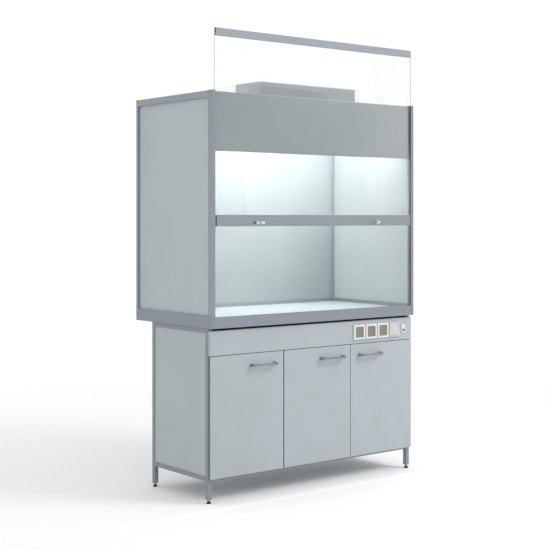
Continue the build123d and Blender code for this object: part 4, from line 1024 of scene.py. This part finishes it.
@dataclass
class HoodShell(SubAssembly):
    """Posts, rails, skins, header and roof of the hood."""

    post_rounding: float = 0.0005
    rail_rounding: float = 0.0006
    trim_gap: float = 0.003
    corner_radius: float = 0.010
    cap_thickness: float = 0.0016
    cap_chamfer: float = 0.0006
    slot_depth: float = 0.005
    slot_play: float = 0.0015
    seal_span: Pair = (0.0002, 0.0014)
    seal_depth: Pair = (0.0004, 0.0018)
    seal_ends: Pair = (0.004, 0.001)
    seal_rounding: float = 0.0003
    screw_radius: float = 0.0036
    post_screws: tuple[float, float, int] = (0.708, 0.030, 7)
    rail_screws: tuple[float, float, int] = (0.530, 0.012, 5)
    roof_screw_inset: float = 0.007
    roof_side_screws: tuple[float, float, int] = (0.050, 0.040, 6)
    roof_rear_screws: tuple[float, int] = (0.110, 7)

    def dress_nodes(self) -> None:
        """Give the shell's nodes their finishes."""
        self.dress(Palette.POST, "front_posts", "rear_posts", rounding=self.post_rounding)
        self.dress(Palette.RAIL_Y, "top_rails", rounding=self.post_rounding)
        self.dress(Palette.BASE_Y, "base_side_rails", rounding=self.rail_rounding)
        self.dress(Palette.RAIL_X, "base_front_rail", "base_rear_rail", rounding=self.rail_rounding)
        self.dress(Palette.SHEET, "outer_side_panels", "outer_back_panel")
        # The header gets the darker copy of the sheet paint: painted shade, since it is the same sheet as the
        # sides.
        self.dress(Palette.HEADER, "header_panel")
        self.dress(Palette.LINING, "roof_panel")

    @property
    def inner_face(self) -> float:
        """Where the posts' inner faces stand along X."""
        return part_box("worktop")[1].x + self.trim_gap

    def post_caps(self) -> None:
        """Close the tops of the posts, with the sash slots left free."""
        front_low, front_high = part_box("front_posts")
        rear_low, rear_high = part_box("rear_posts")
        glass_low, glass_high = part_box("sash_glass")
        inner = self.inner_face
        back, ahead = glass_high.y + self.slot_play, glass_low.y - self.slot_play
        deep = inner + self.slot_depth
        notch = [(inner, back), (deep, back), (deep, ahead), (inner, ahead)]
        front = corner_outline((inner, front_low.y), front_high.xy, (1, -1), self.corner_radius) + notch
        rear = corner_outline((inner, rear_low.y), rear_high.xy, (1, 1), self.corner_radius)
        shape = Shape()
        for side in Side:
            for outline, low, chamfer in ((front, front_high.z, 0.0), (rear, rear_high.z, self.cap_chamfer)):
                shape.plate([(x * side.value, y) for x, y in outline], low, low + self.cap_thickness, chamfer)
        self.place("post_caps", shape, Palette.SHOE, "frame")

    def slot_seals(self) -> None:
        """Line the sash slots with pile strips before and behind the pane."""
        low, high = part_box("front_posts")
        glass_low, glass_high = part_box("sash_glass")
        near, far = self.seal_span
        strips = ((glass_low.y - far, glass_low.y - near), (glass_high.y + near, glass_high.y + far))
        bottom, top = low.z + self.seal_ends[0], high.z - self.seal_ends[1]
        shape = Shape()
        for side in Side:
            ends = sorted(side.value * (self.inner_face + depth) for depth in self.seal_depth)
            for start, end in strips:
                shape.block((ends[0], start, bottom), (ends[1], end, top), self.seal_rounding, 1)
        self.place("slot_seals", shape, Palette.RUBBER_AND_GAP_SHADE, "frame")

    def back_screws(self) -> None:
        """Screw the back skin to the rear posts and rails."""
        low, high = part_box("outer_back_panel")
        x, end, count = self.post_screws
        zs = steps_between(low.z + end, high.z - end, count)
        spots = [((sign * x, high.y, z), Y_AXIS) for z in zs for sign in (-1, 1)]
        x, end, count = self.rail_screws
        xs = steps_between(-x, x, count)
        spots += [((x, high.y, z), Y_AXIS) for x in xs for z in (low.z + end, high.z - end)]
        self.screws("back_skin_screws", "frame", spots, self.screw_radius)

    def roof_screws(self) -> None:
        """Screw the roof sheet to its ledges."""
        low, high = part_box("roof_panel")
        inset = self.roof_screw_inset
        front, rear, count = self.roof_side_screws
        ys = steps_between(low.y + front, high.y - rear, count)
        spots = [((x, y, high.z), Z_AXIS) for y in ys for x in (low.x + inset, high.x - inset)]
        end, count = self.roof_rear_screws
        xs = steps_between(low.x + end, high.x - end, count)
        spots += [((x, high.y - inset, high.z), Z_AXIS) for x in xs]
        self.screws("roof_screws", "frame", spots, self.screw_radius)

    def build(self) -> None:
        """Dress the shell and add its small pieces."""
        self.dress_nodes()
        self.post_caps()
        self.slot_seals()
        self.back_screws()
        self.roof_screws()


@dataclass
class Chamber(SubAssembly):
    """Linings, worktop, trims and luminaire."""

    bead_radius: float = 0.0022
    bead_inset: float = 0.001
    foot_trim_below: float = 1.0
    clip_places: tuple[float, ...] = (-0.42, -0.14, 0.14, 0.42)
    clip_width: float = 0.012
    clip_thickness: float = 0.0009
    clip_top_gap: float = 0.0005
    diffuser_radius: float = 0.012
    end_plate: float = 0.0016
    end_plate_rise: float = 0.004
    end_plate_rounding: float = 0.0005

    def dress_nodes(self) -> None:
        """Give the chamber's nodes their finishes."""
        self.dress(Palette.LINING, "inner_side_linings", "lamp_housing")
        self.dress(Palette.LINING_BOARD, "back_lining")
        self.dress(Palette.TOP, "worktop")
        self.dress(Palette.TRIM, "interior_trim")
        self.paint("interior_trim", Palette.TRIM_X, lambda centre, normal: centre.z < self.foot_trim_below)
        self.dress(Palette.OPAL, "lamp_diffuser")

    def sealant(self) -> None:
        """Run a bead along the joints round the worktop."""
        low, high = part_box("worktop")
        bead = circle(self.bead_radius, 8)
        xs = steps_between(low.x + self.bead_inset, high.x - self.bead_inset, 13)
        ys = steps_between(low.y + self.bead_inset, high.y - self.bead_inset, 9)
        shape = Shape()
        for y in (low.y, high.y):
            shape.swept([Vector((x, y, high.z)) for x in xs], Y_AXIS, [bead] * len(xs))
        for x in (low.x, high.x):
            shape.swept([Vector((x, y, high.z)) for y in ys], X_AXIS, [bead] * len(ys))
        self.place("worktop_sealant", shape, Palette.SEALANT, "frame", 60.0)

    def lamp_clips(self) -> None:
        """Hold the diffuser with sprung clips."""
        low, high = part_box("lamp_diffuser")
        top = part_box("lamp_housing")[0].z - self.clip_top_gap
        radius = self.diffuser_radius + self.clip_thickness
        y0, y1 = low.y - self.clip_thickness, high.y + self.clip_thickness
        z0 = low.z - self.clip_thickness
        quarter = [(radius * math.cos(a), radius * math.sin(a)) for a in steps_between(0.0, math.pi / 2, 7)]
        line = [(y0, top)] + [(y0 + radius - c, z0 + radius - s) for c, s in quarter]
        line += [(y1 - radius + s, z0 + radius - c) for c, s in quarter] + [(y1, top)]
        half, t = self.clip_width / 2, self.clip_thickness / 2
        strip = [(-half, -t), (half, -t), (half, t), (-half, t)]
        shape = Shape()
        for x in self.clip_places:
            shape.swept([Vector((x, y, z)) for y, z in line], X_AXIS, [strip] * len(line))
        self.place("diffuser_clips", shape, Palette.ZINC, "frame")

    def lamp_end_plates(self) -> None:
        """Close the ends of the luminaire with folded plates."""
        low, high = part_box("lamp_housing")
        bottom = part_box("lamp_diffuser")[0].z + self.end_plate_rise
        shape = Shape()
        for x in (low.x - self.end_plate, high.x):
            corner = (x + self.end_plate, high.y, high.z)
            shape.block((x, low.y, bottom), corner, self.end_plate_rounding, 1)
        self.place("lamp_end_plates", shape, Palette.ZINC, "frame")

    def build(self) -> None:
        """Dress the chamber and add its small pieces."""
        self.dress_nodes()
        self.sealant()
        self.lamp_clips()
        self.lamp_end_plates()


@dataclass
class Sash(SubAssembly):
    """Pane with its bar, rail, shoes and catches."""

    lug_rounding: float = 0.0004
    gasket: float = 0.0012
    gasket_height: float = 0.0016
    gasket_bite: float = 0.0004
    gasket_rounding: float = 0.0003
    cap: float = 0.0012
    cap_overlap: float = 0.002
    cap_gap: float = 0.0003
    cap_rounding: float = 0.0006
    buffer: float = 0.0036
    plate_length: float = 0.034
    plate_thickness: float = 0.002
    plate_screw_inset: float = 0.0017
    plate_screw_rise: float = 0.0068
    plate_screw: Pair = (0.0013, 0.0007)

    def dress_nodes(self) -> None:
        """Give the sash's nodes their finishes."""
        self.dress(Palette.GLASS, "sash_glass")
        self.paint("sash_glass", Palette.GLASS_EDGE, edge_on(1))
        self.dress(Palette.BAR, "sash_bottom_bar")
        self.dress(Palette.SASH, "sash_top_rail")
        self.dress(Palette.LUG, "sash_lift_lugs", rounding=self.lug_rounding)
        self.dress(Palette.CATCH, "catch_barrels", "catch_bolt_left", "catch_bolt_right")
        for side in Side:
            node = f"catch_bolt_{side.label}"
            low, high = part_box(node)
            reach = max(abs(low.x), abs(high.x)) - self.buffer
            self.paint(node, Palette.RUBBER_AND_GAP_SHADE, lambda centre, normal: abs(centre.x) > reach)

    def gaskets(self) -> None:
        """Bed the pane in the bar and in the rail."""
        glass_low, glass_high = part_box("sash_glass")
        bar_low, bar_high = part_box("sash_bottom_bar")
        rail_low, rail_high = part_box("sash_top_rail")
        bar_z = (bar_high.z - self.gasket_bite, bar_high.z + self.gasket_height)
        rail_z = (rail_low.z - self.gasket_height, rail_low.z + self.gasket_bite)
        shape = Shape()
        for y in (glass_low.y - self.gasket, glass_high.y):
            for low, high, z in ((bar_low, bar_high, bar_z), (rail_low, rail_high, rail_z)):
                shape.block((low.x, y, z[0]), (high.x, y + self.gasket, z[1]), self.gasket_rounding, 1)
        self.place("pane_gaskets", shape, Palette.TRIM_X, "sash")

    def rail_caps(self) -> None:
        """Cap the ends of the top rail."""
        low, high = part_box("sash_top_rail")
        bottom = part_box("sash_glass")[1].z + self.cap_gap
        shape = Shape()
        for x in (low.x, high.x):
            inner, outer = sorted((x - math.copysign(self.cap_overlap, x), x + math.copysign(self.cap, x)))
            shape.block((inner, low.y, bottom), (outer, high.y, high.z), self.cap_rounding, 2)
        self.place("rail_end_caps", shape, Palette.SHOE, "sash")

    def plate_screws(self) -> None:
        """Screw the catch plates to the bar."""
        low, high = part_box("catch_barrels")
        z = (low.z + high.z) / 2
        y = high.y - self.plate_thickness
        ends = (high.x - self.plate_screw_inset, high.x - self.plate_length + self.plate_screw_inset)
        rises = (-self.plate_screw_rise, self.plate_screw_rise)
        spots = [((side.value * x, y, z + rise), -Y_AXIS) for side in Side for x in ends for rise in rises]
        self.screws("catch_plate_screws", "sash", spots, *self.plate_screw)

    def build(self) -> None:
        """Dress the sash and add its small pieces."""
        self.dress_nodes()
        self.gaskets()
        self.rail_caps()
        self.plate_screws()


@dataclass
class LiftingGear(SubAssembly):
    """Cables, pulleys, brackets and counterweights."""

    weight_rounding: float = 0.0008
    rope_radius: float = 0.00125
    strands: int = 6
    valley: float = 0.78
    lay: float = 0.016
    rope_step: float = 0.0025
    pulley_radius: float = 0.030
    pulley_width: float = 0.0074
    hub_radius: float = 0.0053
    wheel_play: float = 0.0002
    collar_stand: float = 0.0033
    collar: float = 0.008
    collar_bore: float = 0.0051
    collar_radius: float = 0.0092
    collar_chamfer: float = 0.0006
    collar_screw: Pair = (0.0018, 0.0008)
    collar_screw_bite: float = 0.0002

    def dress_nodes(self) -> None:
        """Give the gear's nodes their finishes."""
        self.dress(Palette.ZINC, "pulley_brackets", "front_pulley_shaft")
        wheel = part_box("rear_pulley_right")[0].x - self.wheel_play
        axle = middle_of("front_pulley_shaft")
        self.paint(
            "front_pulley_shaft", Palette.NYLON,
            lambda centre, normal: wheel < abs(centre.x) < wheel + self.pulley_width
            and math.hypot(centre.y - axle.y, centre.z - axle.z) > self.hub_radius,
        )
        self.dress(Palette.NYLON, "rear_pulley_left", "rear_pulley_right")
        self.dress(Palette.PLATE, "counterweight_left", "counterweight_right", rounding=self.weight_rounding)

    def rope_sections(self, path: Sequence[Vector]) -> list[Outline]:
        """Outlines of the rope along a path, turned by its lay.

        Args:
            path: Points of the path.

        Returns:
            The outline about the rope's middle at each point.
        """
        sections = []
        travelled = 0.0
        count = self.strands * 3
        for index, point in enumerate(path):
            if index:
                travelled += (point - path[index - 1]).length
            turn = 2 * math.pi * travelled / self.lay
            outline: Outline = []
            for step in range(count):
                angle = 2 * math.pi * step / count + turn
                radius = self.rope_radius * (1.0 if step % 3 else self.valley)
                outline.append((radius * math.cos(angle), radius * math.sin(angle)))
            sections.append(outline)
        return sections

    def straight_ropes(self, name: str, node: str, xs: Iterable[float], moving: str) -> None:
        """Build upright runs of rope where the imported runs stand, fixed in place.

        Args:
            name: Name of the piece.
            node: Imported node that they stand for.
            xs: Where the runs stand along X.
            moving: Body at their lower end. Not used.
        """
        low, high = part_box(node)
        y = (low.y + high.y) / 2
        count = max(2, int((high.z - low.z) / self.rope_step))
        shape = Shape()
        for x in xs:
            path = [Vector((x, y, z)) for z in steps_between(high.z, low.z, count)]
            shape.swept(path, X_AXIS, self.rope_sections(path))
        piece = self.place(name, shape, Palette.ROPE, None, 80.0)
        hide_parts(node)
        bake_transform(piece)

    def top_ropes(self) -> None:
        """Build the runs over the pulleys."""
        low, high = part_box("top_cable_runs")
        radius = self.pulley_radius
        top = high.z - self.rope_radius
        axle = middle_of("front_pulley_shaft").z
        front = low.y + self.rope_radius + radius
        rear = high.y - self.rope_radius - radius
        arc = [(radius * math.cos(a), radius * math.sin(a)) for a in steps_between(0.0, math.pi / 2, 19)]
        line = [(front - c, axle + s) for c, s in arc]
        line += [(y, top) for y in steps_between(front, rear, 120)[1:-1]]
        line += [(rear + s, axle + c) for c, s in arc]
        shape = Shape()
        for side in Side:
            x = side.value * (high.x - self.rope_radius)
            path = [Vector((x, y, z)) for y, z in line]
            shape.swept(path, X_AXIS, self.rope_sections(path))
        piece = self.place("lift_ropes_over_pulleys", shape, Palette.ROPE, "frame", 80.0)
        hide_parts("top_cable_runs")

    def sleeves(self) -> None:
        """Swage a sleeve on each end of the ropes."""
        profile = [
            (0.0, 0.0), (0.0026, 0.0), (0.0028, 0.002), (0.0024, 0.004), (0.0024, 0.013), (0.0028, 0.015),
            (0.0026, 0.017), (0.0, 0.017),
        ]
        low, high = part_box("front_cable_runs")
        shape = Shape()
        for side in Side:
            x = side.value * (high.x - self.rope_radius)
            shape.turned((x, (low.y + high.y) / 2, low.z), Z_AXIS, profile, 14)
        self.place("sash_rope_sleeves", shape, Palette.ZINC, "sash")
        for side in Side:
            weight = f"counterweight_{side.label}"
            centre, top = middle_of(weight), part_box(weight)[1].z
            shape = Shape().turned((centre.x, centre.y, top), Z_AXIS, profile, 14)
            self.place(f"{weight}_rope_sleeve", shape, Palette.ZINC, weight)

    def shaft_collars(self) -> None:
        """Fix the shaft against the linings with set collars."""
        middle = middle_of("front_pulley_shaft")
        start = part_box("inner_side_linings")[1].x - self.collar_stand - self.collar
        bore, outer, cut = self.collar_bore, self.collar_radius, self.collar_chamfer
        long = self.collar
        profile = [
            (bore, 0.0), (outer - cut, 0.0), (outer, cut), (outer, long - cut), (outer - cut, long),
            (bore, long),
        ]
        screw_x, screw_z = start + long / 2, middle.z + outer - self.collar_screw_bite
        shape = Shape()
        for side in Side:
            shape.turned((side.value * start, middle.y, middle.z), X_AXIS * side.value, profile, 24)
            shape.screw((side.value * screw_x, middle.y, screw_z), Z_AXIS, *self.collar_screw)
        self.place("shaft_collars", shape, Palette.ZINC, "front_pulleys")

    def build(self) -> None:
        """Dress the gear and build its ropes."""
        self.dress_nodes()
        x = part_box("front_cable_runs")[1].x - self.rope_radius
        self.straight_ropes("lift_ropes_front", "front_cable_runs", (-x, x), "sash")
        for side in Side:
            name, node = f"lift_rope_rear_{side.label}", f"rear_cable_{side.label}"
            self.straight_ropes(name, node, (side.value * x,), f"counterweight_{side.label}")
        self.top_ropes()
        self.sleeves()
        self.shaft_collars()


@dataclass
class ExhaustBox(SubAssembly):
    """Box on the roof with the duct collar."""

    duct_radius: float = 0.100
    sheet: float = 0.0015
    bead_radius: float = 0.0013
    bead_out: float = 0.0004
    bead_up: float = 0.0002
    rivet_count: int = 16
    rivet_ring: float = 0.0036
    screw_radius: float = 0.0032
    screw_drop: float = 0.012
    side_screw_inset: float = 0.020
    rear_screws: tuple[float, int] = (0.030, 6)

    def rim_bead(self) -> None:
        """Roll the collar's mouth."""
        middle, top = middle_of("exhaust_box"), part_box("exhaust_box")[1].z
        radius = self.duct_radius + self.sheet / 2 + self.bead_out
        profile = [(radius + u, self.bead_up + v) for u, v in circle(self.bead_radius, 10)]
        shape = Shape().turned((middle.x, middle.y, top), Z_AXIS, profile, 72)
        self.place("collar_rim_bead", shape, Palette.SHEET, "frame", 60.0)

    def rivets(self) -> None:
        """Rivet the collar's flange to the box."""
        middle, top = middle_of("exhaust_box"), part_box("exhaust_box")[1].z
        ring = self.duct_radius + self.rivet_ring
        dome = [(0.0, 0.0009), (0.0007, 0.0008), (0.0014, 0.0004), (0.0016, 0.0), (0.0, 0.0)]
        shape = Shape()
        for step in range(self.rivet_count):
            angle = 2 * math.pi * (step + 0.5) / self.rivet_count
            spot = (middle.x + ring * math.cos(angle), middle.y + ring * math.sin(angle), top)
            shape.turned(spot, Z_AXIS, dome, 10)
        self.place("collar_rivets", shape, Palette.ZINC, "frame")

    def lid_screws(self) -> None:
        """Screw the folds of the box's lid."""
        low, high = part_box("exhaust_box")
        z = high.z - self.screw_drop
        ys = steps_between(low.y + self.side_screw_inset, high.y - self.side_screw_inset, 3)
        spots = [((x, y, z), towards) for x, towards in ((low.x, -X_AXIS), (high.x, X_AXIS)) for y in ys]
        end, count = self.rear_screws
        spots += [((x, high.y, z), Y_AXIS) for x in steps_between(low.x + end, high.x - end, count)]
        self.screws("exhaust_box_screws", "frame", spots, self.screw_radius)

    def build(self) -> None:
        """Dress the box and add its small pieces."""
        self.dress(Palette.SHEET, "exhaust_box")
        # The box's faces turned to the front get the darker copy of the sheet paint: painted shade.
        self.paint("exhaust_box", Palette.HEADER, lambda centre, normal: normal.y < -0.5)
        self.rim_bead()
        self.rivets()
        self.lid_screws()


@dataclass
class BaseCabinet(SubAssembly):
    """Steel frame, boards, doors, handles and hinges."""

    doors: tuple[str, ...] = ("left", "middle", "right")
    free_sides: tuple[Side, ...] = (Side.RIGHT, Side.RIGHT, Side.LEFT)
    board: float = 0.016
    tube_rounding: float = 0.0008
    arm_rounding: float = 0.0004
    tiny: float = 0.0001
    cup_margin: float = 0.002
    front_skin: float = 0.003
    packed_bar: float = 0.005
    packed_foot: float = 0.007
    handle_post: float = 0.0082
    handle_foot: float = 0.0090
    handle_grip: float = 0.0062
    handle_bend: float = 0.014
    foot_height: float = 0.002
    foot_slope: float = 0.0008
    post_run: float = 0.0036
    grip_slope: float = 0.001
    handle_screw: Pair = (0.0044, 0.0015)
    cup_screw: Pair = (0.0032, 0.0007)
    cup_screw_rise: float = 0.024
    bumper_inset: float = 0.011
    bumper_ends: Pair = (0.022, 0.030)
    pin_radius: float = 0.0025
    pin_inset: float = 0.060
    pin_gap: float = 0.0001
    screw_radius: float = 0.0034
    back_screw_ends: Pair = (0.040, 0.030)

    def dress_nodes(self) -> None:
        """Give the cabinet's nodes their finishes."""
        self.dress(Palette.TUBE, "side_frames", "cross_rails", rounding=self.tube_rounding)
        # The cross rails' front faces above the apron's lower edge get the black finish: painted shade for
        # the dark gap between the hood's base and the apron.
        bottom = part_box("apron_panel")[0].z
        self.paint(
            "cross_rails", Palette.RUBBER_AND_GAP_SHADE, lambda centre, normal: normal.y < -0.5 and centre.z > bottom
        )
        self.dress(
            Palette.BOARD, "cabinet_side_panels", "cabinet_back_panel", "cabinet_floor", "cabinet_partition",
            "cabinet_shelves",
        )
        for node, axis in (("cabinet_floor", 2), ("cabinet_shelves", 2), ("cabinet_partition", 0)):
            self.paint(node, Palette.BOARD_EDGE, edge_on(axis))
        self.dress(Palette.FRONT, "apron_panel", *(f"door_{door}" for door in self.doors))
        for door in self.doors:
            self.paint(f"door_{door}", Palette.FRONT_EDGE, edge_on(1, 0.3))
            self.paint(f"door_{door}", Palette.ZINC, self.hinge_cup_test(f"door_{door}"))
        self.dress(Palette.ZINC, "hinge_arms", rounding=self.arm_rounding)

    def hinge_cup_test(self, node: str) -> FaceTest:
        """Test for the faces of a door's hinge cups.

        Args:
            node: Name of the door's node.

        Returns:
            A test of a face's centre and normal.
        """
        low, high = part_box(node)
        back = low.y + self.board
        tiny, margin, skin = self.tiny, self.cup_margin, self.front_skin

        def inside(centre: Vector, normal: Vector) -> bool:
            """Say whether a face is in a cup or on its flange.

            Args:
                centre: Middle of the face.
                normal: Direction that it faces.

            Returns:
                True for such a face.
            """
            deep = low.y + skin < centre.y < back - tiny
            away = min(centre.x - low.x, high.x - centre.x, centre.z - low.z, high.z - centre.z) > margin
            return centre.y > back + tiny or (deep and away)

        return inside

    def bow_handles(self) -> None:
        """Bend the handles with thick posts and a thinner grip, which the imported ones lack."""
        bend, post = self.handle_bend, self.handle_post
        for door in self.doors:
            low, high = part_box(f"handle_{door}")
            z = (low.z + high.z) / 2
            outer = low.y + self.packed_bar
            shoulder = high.y - self.foot_height
            half = [(0.0, high.y, self.handle_foot), (0.0, shoulder, self.handle_foot)]
            half.append((0.0, shoulder - self.foot_slope, post))
            for angle in steps_between(0.0, math.pi / 2, 9):
                half.append((bend - bend * math.cos(angle), outer + bend - bend * math.sin(angle), post))
            neck = bend + self.post_run
            half += [(neck, outer, post), (neck + self.grip_slope, outer, self.handle_grip)]
            first, last = low.x + self.packed_foot, high.x - self.packed_foot
            path = [Vector((first + x, y, z)) for x, y, _ in half]
            path += [Vector((last - x, y, z)) for x, y, _ in reversed(half)]
            rings = [circle(radius, 20) for _, _, radius in half]
            shape = Shape().swept(path, Z_AXIS, rings + rings[::-1])
            piece = self.place(f"bow_handle_{door}", shape, Palette.HANDLE, f"door_{door}")
            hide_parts(f"handle_{door}")

    def handle_screws(self) -> None:
        """Screw the handles on from inside the doors."""
        for door in self.doors:
            low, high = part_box(f"handle_{door}")
            back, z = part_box(f"door_{door}")[0].y + self.board, (low.z + high.z) / 2
            spots = [((x, back, z), Y_AXIS) for x in (low.x + self.packed_foot, high.x - self.packed_foot)]
            self.screws(f"handle_screws_{door}", f"door_{door}", spots, *self.handle_screw)

    def hinge_screws(self) -> None:
        """Screw the hinge cups to the doors."""
        for door in self.doors:
            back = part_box(f"door_{door}")[1].y
            centres = self.cup_centres(f"door_{door}")
            rises = (-self.cup_screw_rise, self.cup_screw_rise)
            spots = [((x, back, z + rise), Y_AXIS) for x, z in centres for rise in rises]
            self.screws(f"hinge_cup_screws_{door}", f"door_{door}", spots, *self.cup_screw)

    def cup_centres(self, node: str) -> Outline:
        """Middles of a door's hinge cups, found from the flanges on its back.

        Args:
            node: Name of the door's node.

        Returns:
            The x and z of the lower and the upper cup.
        """
        low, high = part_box(node)
        proud = [v.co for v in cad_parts[node].data.vertices if v.co.y > high.y - self.tiny]
        x = (min(p.x for p in proud) + max(p.x for p in proud)) / 2
        middle = (low.z + high.z) / 2
        halves = ([p.z for p in proud if p.z < middle], [p.z for p in proud if p.z > middle])
        return [(x, (min(half) + max(half)) / 2) for half in halves]

    def door_bumpers(self) -> None:
        """Stick bumpers on the doors' free corners."""
        dome = [(0.0, 0.0015), (0.002, 0.0013), (0.0036, 0.0008), (0.004, 0.0), (0.0, 0.0)]
        for door, free in zip(self.doors, self.free_sides):
            low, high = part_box(f"door_{door}")
            x = high.x - self.bumper_inset if free is Side.RIGHT else low.x + self.bumper_inset
            shape = Shape()
            for z in (low.z + self.bumper_ends[0], high.z - self.bumper_ends[1]):
                shape.turned((x, low.y + self.board, z), Y_AXIS, dome, 16)
            self.place(f"door_bumpers_{door}", shape, Palette.BUMPER, f"door_{door}")

    def shelf_pins(self) -> None:
        """Set pins under the shelves."""
        low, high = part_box("cabinet_shelves")
        part_low, part_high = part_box("cabinet_partition")
        radius = self.pin_radius
        peg = [(0.0, 0.0), (radius, 0.0), (radius, 0.006), (0.0036, 0.0062), (0.0036, 0.008), (0.0, 0.008)]
        z = low.z - radius - self.pin_gap
        walls = ((low.x, X_AXIS), (part_low.x, -X_AXIS), (part_high.x, X_AXIS), (high.x, -X_AXIS))
        shape = Shape()
        for y in (low.y + self.pin_inset, high.y - self.pin_inset):
            for x, towards in walls:
                shape.turned((x, y, z), towards, peg, 14)
        self.place("shelf_pins", shape, Palette.ZINC, "frame")

    def back_screws(self) -> None:
        """Screw on the cabinet's back board."""
        low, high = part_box("cabinet_back_panel")
        end_x, end_z = self.back_screw_ends
        xs = steps_between(low.x + end_x, high.x - end_x, 6)
        spots = [((x, high.y, z), Y_AXIS) for x in xs for z in (low.z + end_z, high.z - end_z)]
        self.screws("cabinet_back_screws", "frame", spots, self.screw_radius)

    def build(self) -> None:
        """Dress the cabinet and add its small pieces."""
        self.dress_nodes()
        self.bow_handles()
        self.handle_screws()
        self.hinge_screws()
        self.door_bumpers()
        self.shelf_pins()
        self.back_screws()


@dataclass
class LevellingFeet(SubAssembly):
    """Feet under the legs, each with a lock nut."""

    corners: tuple[str, ...] = ("front_left", "front_right", "rear_left", "rear_right")
    pad_top: float = 0.0132
    nut_span: Pair = (0.0137, 0.0198)
    nut_flats: float = 0.013
    nut_bore: float = 0.0042

    def lock_nuts(self) -> None:
        """Put a nut on each stud, tight under the leg."""
        bore = circle(self.nut_bore, 24)
        hexagon: Outline = []
        for u, v in circle(1.0, 24):
            around = math.atan2(v, u) % (math.pi / 3) - math.pi / 6
            reach = self.nut_flats / 2 / math.cos(around)
            hexagon.append((reach * u, reach * v))
        low, high = self.nut_span
        shape = Shape()
        for corner in self.corners:
            middle = middle_of(f"foot_{corner}")
            levels = ((bore, low), (hexagon, low), (hexagon, high), (bore, high))
            rings = [[Vector((middle.x + u, middle.y + v, z)) for u, v in ring] for ring, z in levels]
            shape.skin(rings, closed=True)
        self.place("foot_lock_nuts", shape, Palette.ZINC, "frame", 20.0)

    def build(self) -> None:
        """Dress the feet and add their nuts."""
        for corner in self.corners:
            self.dress(Palette.FOOT, f"foot_{corner}")
            self.paint(f"foot_{corner}", Palette.ZINC, lambda centre, normal: centre.z > self.pad_top)
        self.lock_nuts()


@dataclass
class Electrics(SubAssembly):
    """Sockets, lids, rocker switch and push button on the apron."""

    sockets: tuple[str, ...] = ("left", "middle", "right")
    frame_depth: float = 0.0035
    well_depth: float = 0.024
    contact_spacing: float = 0.019
    earth_rise: float = 0.0188
    contact_gap: float = 0.0004
    switch_margin: float = 0.012
    bezel_depth: float = 0.0045

    def dress_nodes(self) -> None:
        """Give the devices their finishes."""
        self.dress(Palette.DEVICE, "socket_frames", "switch_plates")
        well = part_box("socket_frames")[0].y + self.frame_depth
        self.paint("socket_frames", Palette.WELL, lambda centre, normal: centre.y > well)
        switch_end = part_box("rocker")[1].x + self.switch_margin
        self.paint("switch_plates", Palette.ROCKER, lambda centre, normal: centre.x < switch_end)
        self.dress(Palette.ROCKER, "rocker")
        self.dress(Palette.GREEN, "push_button")
        self.dress(Palette.LID, *(f"socket_lid_{socket}" for socket in self.sockets))

    def contacts(self) -> None:
        """Line the contact holes with brass, and add the earth springs."""
        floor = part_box("socket_frames")[0].y + self.well_depth
        z = middle_of("socket_frames").z
        sleeve = [(0.0017, 0.0), (0.00255, 0.0), (0.00255, 0.008), (0.0017, 0.008)]
        strip = [(-0.002, -0.0003), (0.002, -0.0003), (0.002, 0.0003), (-0.002, 0.0003)]
        spring = ((0.0005, 0.0), (0.005, 0.0012), (0.009, 0.0026), (0.012, 0.0018), (0.014, 0.0006))
        brass = Shape()
        for socket in self.sockets:
            x = middle_of(f"socket_lid_{socket}").x
            for sign in (-1, 1):
                spot = (x + sign * self.contact_spacing / 2, floor + self.contact_gap, z)
                brass.turned(spot, Y_AXIS, sleeve, 14)
                path = [Vector((x, floor - out, z + sign * (self.earth_rise - bow))) for out, bow in spring]
                brass.swept(path, X_AXIS, [strip] * len(path))
        self.place("socket_contacts", brass, Palette.BRASS, "frame")

    def button_bezel(self) -> None:
        """Ring the push button."""
        middle, face = middle_of("push_button"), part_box("push_button")[0].y + self.bezel_depth
        ring = [
            (0.00735, -0.0002), (0.0096, -0.0002), (0.0096, 0.0006), (0.0090, 0.0011), (0.0079, 0.0011),
            (0.00735, 0.0005),
        ]
        shape = Shape().turned((middle.x, face, middle.z), -Y_AXIS, ring, 40)
        self.place("button_bezel", shape, Palette.WELL, "frame")

    def build(self) -> None:
        """Dress the devices and add their small pieces."""
        self.dress_nodes()
        self.contacts()
        self.button_bezel()


def main() -> None:
    """Build the studio and every sub-assembly in order."""
    assemblies = (
        Studio(), HoodShell(), Chamber(), Sash(), LiftingGear(), ExhaustBox(), BaseCabinet(), LevellingFeet(),
        Electrics(),
    )
    for assembly in assemblies:
        assembly.build()
        LOG.info("finished %s", type(assembly).__name__)


if __name__ == "__main__":
    main()
